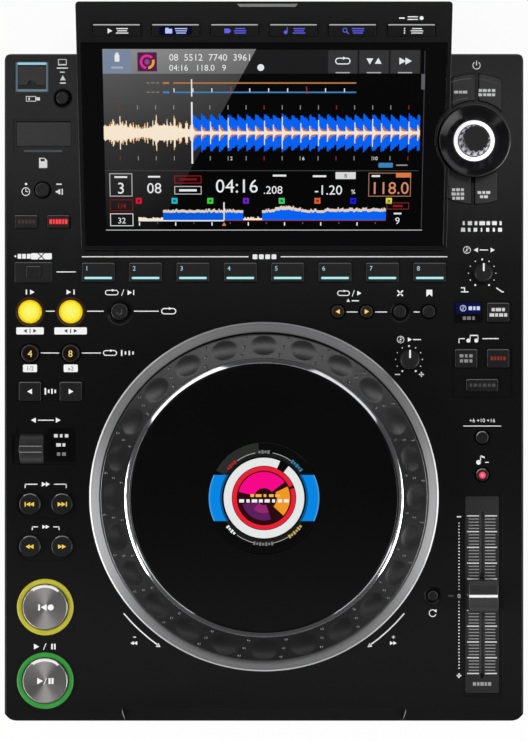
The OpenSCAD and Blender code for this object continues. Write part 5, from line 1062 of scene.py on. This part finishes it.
CUE, PLAY, SELECTOR = (-138.6, -148.7), (-138.6, -195.3), (131.8, 145.3)
foot_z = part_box("light_rings")[0].z / mm
for name, (x, y), colour, deep in (("cue_ring", CUE, (0.42, 0.4, 0.03), (0.3, 0.27, 0.015)),
                                   ("play_ring", PLAY, (0.025, 0.25, 0.035), (0.015, 0.17, 0.022))):
    profile = [(14.9, foot_z), (19.0, foot_z), (19.0, 63), (17.9, 63), *rounding(17.4, 66.7, 0.5, 0, 90),
               *rounding(15.2, 66.9, 0.3, 90, 180, 3)]
    add_piece(name, lathe(profile, 128, Matrix.Translation((x * mm, y * mm, 0))),
              ring_light(name, colour, deep, 0.25), replaces=["light_rings"])
for node, (x, y) in (("cue_button", CUE), ("play_button", PLAY)):
    cap_metal = turned(node + "_metal", (0.27, 0.25, 0.25), (0.36, 0.34, 0.34), 0.36, 0.0006, 0.000004,
                       (x, y), Metallic=1.0, Anisotropic=0.8)
    # The rear facing faces of each cap's rounded edge take a near white finish: a painted highlight.
    cap_painted_highlight = moulded(node + "_edge", (0.75, 0.74, 0.73), (0.9, 0.89, 0.88), 0.25)
    dress(refine(node, cap_metal, 0.0019, 3), cap_painted_highlight,
          lambda c, n: n.y > 0.2 and abs(n.x + 0.06 * n.y) < 0.72 * n.y and 0.2 < n.z < 0.98)
cap_print_and_painted_highlight = printed("cap_print_and_painted_highlight")
for node, (x, y) in (("cue_button", CUE), ("play_button", PLAY)):
    cap_marks = Marks()
    # A pale arc near the rear rim of each cap is a painted highlight of its rounded edge; the symbols are
    # print.
    cap_marks.ring(0, 0, 13.9, 12.5, (0.8, 0.79, 0.78), 50, 76, 0, 96)
    if node == "play_button":
        cap_marks.arrow(-3.2, 0, 4.2)
        cap_marks.bar(0.2, 0, 0.45, 4.6, WHITE, -24)
        for dx in (2.9, 4.8):
            cap_marks.bar(dx, 0, 1.3, 3.8)
    else:
        cap_marks.bar(-3.7, 0, 1.2, 3.9)
        cap_marks.arrow(-0.6, 0, 4.2, 180)
        cap_marks.disc(3.6, 0, 1.9, WHITE, 0, 28)
    cap_marks.piece(node + "_symbol", cap_print_and_painted_highlight, Matrix.Translation((x * mm, y * mm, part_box(node)[1].z)), node,
                    "spun_metal")


# ------------------------------------------------------------------ left column
# Satin black keys and round buttons on short plungers, a lid over each media port and the direction
# lever on its axle. Their symbols are printed or moulded through and lit from behind.

key_satin = moulded("key_satin", (0.006, 0.006, 0.0065), (0.0095, 0.0095, 0.01), 0.3, 2600, 0.00001, 40,
                    Specular_IOR_Level=0.22)
lid_satin = moulded("lid_satin", (0.014, 0.014, 0.0145), (0.021, 0.021, 0.022), 0.32, 2600, 0.00001, 40,
                    Specular_IOR_Level=0.4)
key_light = lit("key_light")
key_print_and_painted_highlight = printed("key_print_and_painted_highlight")
YELLOW, WARM = (0.95, 0.66, 0.09), (0.9, 0.75, 0.2)
# Paler finishes for the rounded rear edges of keys and buttons: painted highlights, from dull grey to bright
# where the edge should catch more light.
painted_highlight_dull = moulded("painted_highlight_dull", (0.028, 0.028, 0.03), (0.045, 0.045, 0.048), 0.3)
painted_highlight_grey = moulded("painted_highlight_grey", (0.1, 0.1, 0.1), (0.15, 0.15, 0.15), 0.3)
painted_highlight_bright = moulded("painted_highlight_bright", (0.45, 0.45, 0.45), (0.6, 0.6, 0.6), 0.3)


def rear_edge(reach):
    """A test for the faces of a key's rounded upper edge that look backwards, which take a painted highlight.
    """
    return lambda c, n: n.y > reach and 0.25 < n.z < 0.97


for node in ("beat_loop_buttons", "time_mode_button", "reloop_button", "stick_stop_button",
             "cue_call_buttons", "delete_button", "memory_button", "tempo_range_button",
             "master_tempo_button", "tempo_reset_button"):
    piece = refine(node, key_satin, 0.0008, 3)
    dress(piece, painted_highlight_dull, rear_edge(0.1))
    if node in ("tempo_range_button", "master_tempo_button"):
        dress(piece, painted_highlight_bright, lambda c, n: n.y > 0.3 and n.x < 0.35 and 0.25 < n.z < 0.9)
for node in ("search_buttons", "track_search_buttons"):
    piece = refine(node, key_satin, 0.0009, 3)
    dress(piece, painted_highlight_dull, rear_edge(-0.2))
    dress(piece, painted_highlight_bright, lambda c, n: n.y > 0.42 and abs(n.x) < 0.75 * n.y and 0.25 < n.z < 0.85)
for node in ("beat_jump_keys", "bank_key", "slip_and_quantize_keys", "jog_mode_key", "beat_sync_key",
             "master_key", "key_sync_key", "hot_cue_pads"):
    dress(refine(node, key_satin, 0.0006, 3), painted_highlight_grey, rear_edge(0.25))
for node in ("corner_keys", "card_door", "stick_flap", "direction_lever"):
    refine(node, lid_satin, 0.0004, 3)

for node, bars in (("search_buttons", False), ("track_search_buttons", True)):
    marks = Marks()
    for way in (-1, 1):
        skip_symbol(marks, way * 10.15, 0, 2.9, way, bars, YELLOW)
    marks.on_key(node + "_symbols", key_light, node)
marks = Marks()
for way in (-1, 1):
    marks.arrow(way * 12.95, 0, 3.4, 90 - way * 90)
marks.on_key("beat_jump_symbols", key_print_and_painted_highlight, "beat_jump_keys")
marks = Marks()
for x, text in ((-12.8, "4"), (12.8, "8")):
    marks.disc(x, 0, 4.3, (0.009, 0.0035, 0.0015))
    marks.figure(text, x, 0, 4.4, WARM, 0.03)
marks.on_key("beat_loop_figures", key_light, "beat_loop_buttons")
DISH_R = 9.25
for node in ("loop_in_button", "loop_out_button"):
    refine(node, moulded(node + "_yellow", (0.75, 0.72, 0.02), (0.9, 0.86, 0.03), 0.35), 0.0005, 3)
    marks = Marks()
    for i, green in enumerate((0.62, 0.88, 0.92, 0.94, 0.96, 0.98)):
        marks.disc(0, 0, 7.2 - i, (1.0, green, 0.005 + 0.035 * i), 0.012 * i, 64)
    marks.on_key(node + "_light", key_light, node, "lit_yellow")
    # The panel's dish round each loop button takes a red-brown tone: a painted glow of the button's light on
    # it.
    x, y = top_of(node).translation.xy
    dress(top_panel, moulded(node + "_dish", (0.02, 0.002, 0.001), (0.045, 0.005, 0.002), 0.3),
          lambda c, n: math.hypot(c.x - x, c.y - y) < DISH_R * mm and c.z > recess_z - 0.1 * mm)
marks = Marks()
marks.bars((-10.0, 0, 11.2, 4.0, (0.018, 0.012, 0.012), 0, 0, 0.6),
           (10.25, 0, 11.8, 4.4, (0.13, 0.005, 0.009), 0, 0, 0.6))
marks.blocks(-14.6, 0, (1.6,) * 5, 2.3, 2.4, (0.05, 0.035, 0.035), 0.02)
marks.blocks(5.4, 0, (1.7, 1.1, 1.7, 1.7, 1.1, 1.7), 1.95, 2.9, (0.95, 0.07, 0.08), 0.03)
marks.on_key("slip_and_quantize_marks", key_light, "slip_and_quantize_keys")

# Light grooves round the stick port and before the card door, and the window beside the lever
recess_lights = Marks()
PORT_X, PORT_Y = -147.2, 187.4
for w, tone in ((20.8, (0.045, 0.1, 0.13)), (19.6, (0.13, 0.19, 0.22))):
    recess_lights.frame(PORT_X, PORT_Y, w, w - 1.6, 0.7, tone)
recess_lights.bars((PORT_X, PORT_Y + 8.4, 18.2, 1.5, (0.34, 0.62, 0.75), 0, 0.02, 0.4),
                   (PORT_X, PORT_Y - 8.5, 18.2, 1.3, (0.15, 0.22, 0.25), 0, 0.02, 0.4),
                   (-140.1, 140.4, 24.4, 1.3, (0.06, 0.07, 0.08), 0, 0, 0.5),
                   (-128.6, -46.0, 18.2, 21.3, (0.0015, 0.0015, 0.0018), 0, 0, 1.0))
for x, y, widths, tone in ((-132.0, -40.2, (2.4, 1.6, 2.2), 0.72), (-130.3, -46.0, (3.0, 1.8), 0.72),
                           (-130.3, -51.8, (2.0, 2.4), 0.22)):
    recess_lights.blocks(x, y, widths, 3.4, 2.1, (tone,) * 3, 0.02)
recess_lights.piece("recess_lights", lit("recess_light"), Matrix.Translation((0, 0, recess_z)))

# Grey lines that are painted highlights for the two ribs of the lever, and the two blocks beside it
# that carry its axle
marks = Marks()
cheeks = bmesh.new()
CHEEK_X, CHEEK_SIZE = 10.1, (4.7, 19.7, 3.5)
lever_x, lever_y = top_of("direction_lever").translation.xy
for side in (-1, 1):
    marks.bar(0, side * 1.9, 14.2, 0.5, (0.2, 0.2, 0.21))
    middle = Vector((lever_x + side * CHEEK_X * mm, lever_y, recess_z - CHEEK_SIZE[2] / 2 * mm))
    bmesh.ops.create_cube(cheeks, size=1, matrix=Matrix.Translation(middle)
                          @ Matrix.Diagonal((*(size * mm for size in CHEEK_SIZE), 1)))
marks.on_key("lever_rib_painted_highlights", key_print_and_painted_highlight, "direction_lever")
add_piece("lever_cheek_covers", cheeks, panel_black)


# ------------------------------------------------------------------ pads and call buttons
# Eight rubber topped keys behind the wheel, each with its number and a bar of light, and the arrows
# of the two small round call buttons before them.

marks = Marks()
PAD_PITCH = 30.0
for i in range(8):
    x = (i - 3.5) * PAD_PITCH
    marks.bars((x, -3.6, 18.6, 2.4, (0.004, 0.05, 0.07), 0, 0, 0.9),
               (x, -3.6, 17.4, 1.35, (0.5, 0.9, 0.88), 0, 0.02, 0.5))
    marks.figure(str(i + 1), x - 7.2, 2.6, 3.0, (0.5, 0.66, 0.76), 0.02)
marks.on_key("pad_lights", key_light, "hot_cue_pads", "pad")
marks = Marks()
for way in (-1, 1):
    marks.disc(way * 9.1, 0, 3.2, (0.03, 0.012, 0.003), 0, 28)
    marks.arrow(way * 9.1, 0, 3.0, 90 - way * 90, (0.95, 0.72, 0.25), 0.02)
marks.on_key("call_symbols", key_light, "cue_call_buttons")


# ------------------------------------------------------------------ knobs
# Two small turning knobs of satin black plastic on their shafts, each with a white pointer line
# printed on its top.

for node in ("jog_feel_knob", "speed_knob"):
    refine(node, key_black, 0.0006, 3)
    marks = Marks()
    marks.bar(0, 3.4, 1.1, 5.0)
    marks.on_key(node + "_pointer", key_print_and_painted_highlight, node, "knob")


# ------------------------------------------------------------------ right column keys
# Satin black keys like those on the left, where they are made. Here they get their printed marks,
# the mode key its lit window, and the master tempo button the red light in its cap.

marks = Marks()
for x, y, w in ((-3.2, 1.7, 2.0), (0.1, 1.7, 3.4), (3.3, 1.7, 1.8),
                (-4.0, -1.7, 3.0), (-1.0, -1.7, 1.8), (1.8, -1.7, 2.6), (4.7, -1.7, 2.0)):
    marks.bar(x, y, w, 2.1, (0.62, 0.62, 0.62))
marks.on_key("jog_mode_marks", key_print_and_painted_highlight, "jog_mode_key")
marks = Marks()
WINDOW_X, WINDOW_Y = 129.7, 38.1
upper_y = WINDOW_Y + 2.6
marks.bars((WINDOW_X, WINDOW_Y, 18.3, 13.1, (0.0012, 0.0012, 0.0016), 0, 0, 0.8),
           (WINDOW_X, upper_y, 15.8, 7.0, (0.002, 0.003, 0.06), 0, 0.02, 1.2))
disc_symbol(marks, WINDOW_X - 3.4, upper_y, 2.0, (0.62, 0.7, 1.0), 0.04)
marks.blocks(WINDOW_X + 1.2, upper_y, (2.2, 1.4, 2.0), 2.5, 2.4, (0.62, 0.7, 1.0), 0.04)
marks.blocks(WINDOW_X - 2.6, WINDOW_Y - 3.7, (2.0, 2.4, 1.6), 2.9, 2.1, (0.2, 0.2, 0.2), 0.02)
marks.piece("mode_window", key_light, Matrix.Translation((0, 0, recess_z)))
marks = Marks()
marks.blocks(-3.0, 1.6, (2.4, 1.6, 2.2), 3.0, 2.0, (0.24, 0.24, 0.24))
marks.blocks(-3.0, -1.6, (2.0, 2.4, 1.8), 3.0, 2.0, (0.24, 0.24, 0.24))
marks.on_key("beat_sync_marks", key_print_and_painted_highlight, "beat_sync_key")
marks = Marks()
marks.blocks(-4.0, 0, (1.6, 1.1, 1.6, 1.1, 1.6), 2.0, 2.3, (0.24, 0.03, 0.02))
marks.on_key("master_marks", key_light, "master_key")
marks = Marks()
marks.blocks(-7.2, 0, (1.6, 2.2, 1.4, 2.4, 1.8, 2.2), 2.9, 2.0, (0.035, 0.035, 0.035))
marks.on_key("key_sync_marks", key_print_and_painted_highlight, "key_sync_key")
marks = Marks()
for r, colour, lift, steps in ((2.6, (0.2, 0.006, 0.02), 0, 32), (2.1, (0.95, 0.07, 0.16), 0.02, 32),
                               (1.1, (1.0, 0.25, 0.3), 0.04, 24)):
    marks.disc(0, -0.2, r, colour, lift, steps)
marks.on_key("master_tempo_light", key_light, "master_tempo_button")


# ------------------------------------------------------------------ selector
# Fluted knob that turns and presses in a shallow gloss black dish, with a white light ring at its
# foot. Four corner keys lie round the dish, two behind it and two before it.

dish_black = turned("dish_black", (0.003, 0.003, 0.0032), (0.0046, 0.0046, 0.005), 0.13, 0.0004, 0.000001,
                    SELECTOR)
refine("selector_dish", dish_black, 0.0004, 3)
knob = refine("selector_knob", key_black, 0.0004)
knob_low, knob_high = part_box("selector_knob")
KNOB_TAPER = 0.16
for vert in knob.data.vertices:
    taper = 1 - KNOB_TAPER * (vert.co.z - knob_low.z) / (knob_high.z - knob_low.z)
    for axis in (0, 1):
        vert.co[axis] = SELECTOR[axis] * mm + (vert.co[axis] - SELECTOR[axis] * mm) * taper
knob_flank = gloss("knob_flank", (0.3, 0.29, 0.36), 0.25, Metallic=1.0)
dress(knob, knob_flank, lambda c, n: abs(n.z) < 0.6)
select_place = Matrix.Translation((SELECTOR[0] * mm, SELECTOR[1] * mm, 0))
ring_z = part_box("light_rings")[1].z / mm
LIGHT_R, LIGHT_IN, LIGHT_H = 12.75, 10.35, 0.7
light_profile = [(LIGHT_IN, ring_z - LIGHT_H), (LIGHT_R, ring_z - LIGHT_H),
                 *rounding(LIGHT_R - 0.25, ring_z - 0.25, 0.25, 0, 90, 3), (LIGHT_IN, ring_z)]
add_piece("selector_ring", lathe(light_profile, 96, select_place),
          ring_light("selector_ring", (0.95, 0.95, 0.97), (0.85, 0.85, 0.88), 0.8),
          replaces=["light_rings"])
marks = Marks()
for x, y, widths in ((-10.1, 32.2, (2.6, 2.0, 2.8)), (5.2, 33.25, (2.0, 2.6, 1.8, 2.2)),
                     (5.2, 30.55, (2.4, 1.8, 2.6, 2.0)), (-11.7, -29.6, (2.0, 2.4, 1.8)),
                     (-11.7, -32.3, (2.6, 1.8, 2.2)), (-11.7, -35.0, (1.6, 2.6, 1.9)),
                     (4.6, -31.35, (2.4, 1.8, 2.6)), (6.0, -34.05, (2.0, 2.4))):
    marks.blocks(x, y, widths, 2.8, 1.8)
# Painted highlights: thin pale arcs along the edges that face the dish and the display
marks.ring(0, 0, 28.8, 28.4, (0.2, 0.2, 0.2), 95, 23)
for start, sweep, tone in ((91, 18.5, 0.17), (66.5, 19.3, 0.09)):
    marks.ring(0, 0, 41.0, 40.65, (tone,) * 3, start, sweep)
corner_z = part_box("corner_keys")[1].z
marks.piece("corner_key_marks", key_print_and_painted_highlight, select_place @ Matrix.Translation((0, 0, corner_z)), "corner_keys",
            "key")


# ------------------------------------------------------------------ tempo slider
# A moulded cap with a white line runs along the slot of its sunken plate, whose scale has a long
# stroke every ten millimetres. The slot lets the carriage through to the rail under the panel.

plate_grey = moulded("plate_grey", (0.004, 0.004, 0.004), (0.007, 0.007, 0.007), 0.42, 2200, 0.00001)
refine("slider_plate", plate_grey, 0.0002)
cap_black = moulded("cap_black", (0.012, 0.012, 0.0125), (0.02, 0.02, 0.021), 0.34, 2400, 0.00001)
refine("slider_cap", cap_black, 0.0004, 3)
SLIDER = (138.3, -141.0)
plate_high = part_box("slider_plate")[1].z
scale = Marks()
SLOT_GAP, TRAVEL = 1.9, 50.0
for i in range(51):
    w, h, tone = (6.6, 0.6, 0.25) if i % 5 else (7.6, 0.75, 0.62)
    for side in (-1, 1):
        scale.bar(side * (SLOT_GAP + w / 2), TRAVEL - i * SLIDER_STEP, w, h, (tone,) * 3)
scale.blocks(-4.8, -56.6, (2.0, 1.5, 2.2, 1.5, 2.0), 2.4, 2.2, (0.3, 0.3, 0.3))
scale.piece("slider_scale", silk_ink, Matrix.Translation((SLIDER[0] * mm, SLIDER[1] * mm, plate_high)))
GROOVE_DEPTH = 1.5
cap_line = Marks()
cap_line.bar(0, 0, 18.0, 1.7, (0.85, 0.85, 0.85), 0, -GROOVE_DEPTH)
cap_line.on_key("slider_cap_line", key_print_and_painted_highlight, "slider_cap", "slider_cap")


# ------------------------------------------------------------------ floor and light
# A wide white bowl of floor and backdrop, soft lamps all round and a dim grey world. To the camera,
# in reflections and through glass the floor glows almost white; the rest of its tone keeps shadows.

stage_mesh = lathe([(0, -30), (0, 0), (2600, 0), *rounding(2600, 500, 500, -90, 0, 9), (3100, 1600),
                    (3130, 1600), (3130, -30)], 96)
floor_white, place = new_finish("floor_white")
rays = [place.node("LightPath", out=kind) for kind in (0, 3, 6)]
seen = place.node("Math", {"operation": "MINIMUM"}, {0: rays[0] + rays[1] + rays[2], 1: 0.93})
pale = place.noise(3, 2).tint((0.8, 0.8, 0.8), (0.84, 0.84, 0.84))
wear(floor_white, Base_Color=pale, Roughness=place.noise(6, 2).between(0.75, 0.85))
floor_tree = floor_white.node_tree
glow = floor_tree.nodes.new("ShaderNodeEmission")
mixer = floor_tree.nodes.new("ShaderNodeMixShader")
floor_tree.links.new(seen.socket, mixer.inputs[0])
floor_tree.links.new(floor_tree.nodes["Principled BSDF"].outputs[0], mixer.inputs[1])
floor_tree.links.new(glow.outputs[0], mixer.inputs[2])
floor_tree.links.new(mixer.outputs[0], floor_tree.nodes["Material Output"].inputs[0])
stage_data = bpy.data.meshes.new("floor")
stage_mesh.to_mesh(stage_data)
stage_mesh.free()
stage_data.materials.append(floor_white)
stage_data.shade_smooth()
floor = bpy.data.objects.new("floor", stage_data)
scene.collection.objects.link(floor)


AIM = Vector((0, -0.03, 0.07))
LAMP_REACH = 1.6


def softbox(name, azimuth, elevation, w, h, power):
    """Area lamp on a sphere round the player. Azimuth is measured clockwise from the rear."""
    lamp = bpy.data.lights.new(name, "AREA")
    lamp.shape = "RECTANGLE"
    lamp.size, lamp.size_y, lamp.energy = w, h, power
    a, e = math.radians(azimuth), math.radians(elevation)
    made = bpy.data.objects.new(name, lamp)
    spot = AIM + LAMP_REACH * Vector((math.sin(a) * math.cos(e), math.cos(a) * math.cos(e), math.sin(e)))
    made.location = spot
    made.rotation_euler = (AIM - spot).to_track_quat("-Z", "Y").to_euler()
    scene.collection.objects.link(made)


for row in (("left_light", 256, 25, 1.2, 0.4, 28), ("right_light", 104, 25, 1.2, 0.4, 20),
            ("front_left_light", 226, 43, 0.8, 0.3, 1.3), ("front_right_light", 134, 43, 0.8, 0.3, 1.3),
            ("rear_left_light", 320, 43, 0.9, 0.3, 1.6), ("rear_right_light", 42, 43, 0.8, 0.25, 0.7),
            ("high_right_light", 102, 53, 0.8, 0.3, 1.8), ("high_rear_light", 0, 76, 1.2, 0.22, 2.0),
            ("high_front_light", 180, 78, 1.2, 0.12, 0.5)):
    softbox(*row)
world = bpy.data.worlds.new("world")
scene.world = world
world.use_nodes = True
world.node_tree.nodes["Background"].inputs[0].default_value = (0.08, 0.08, 0.08, 1)
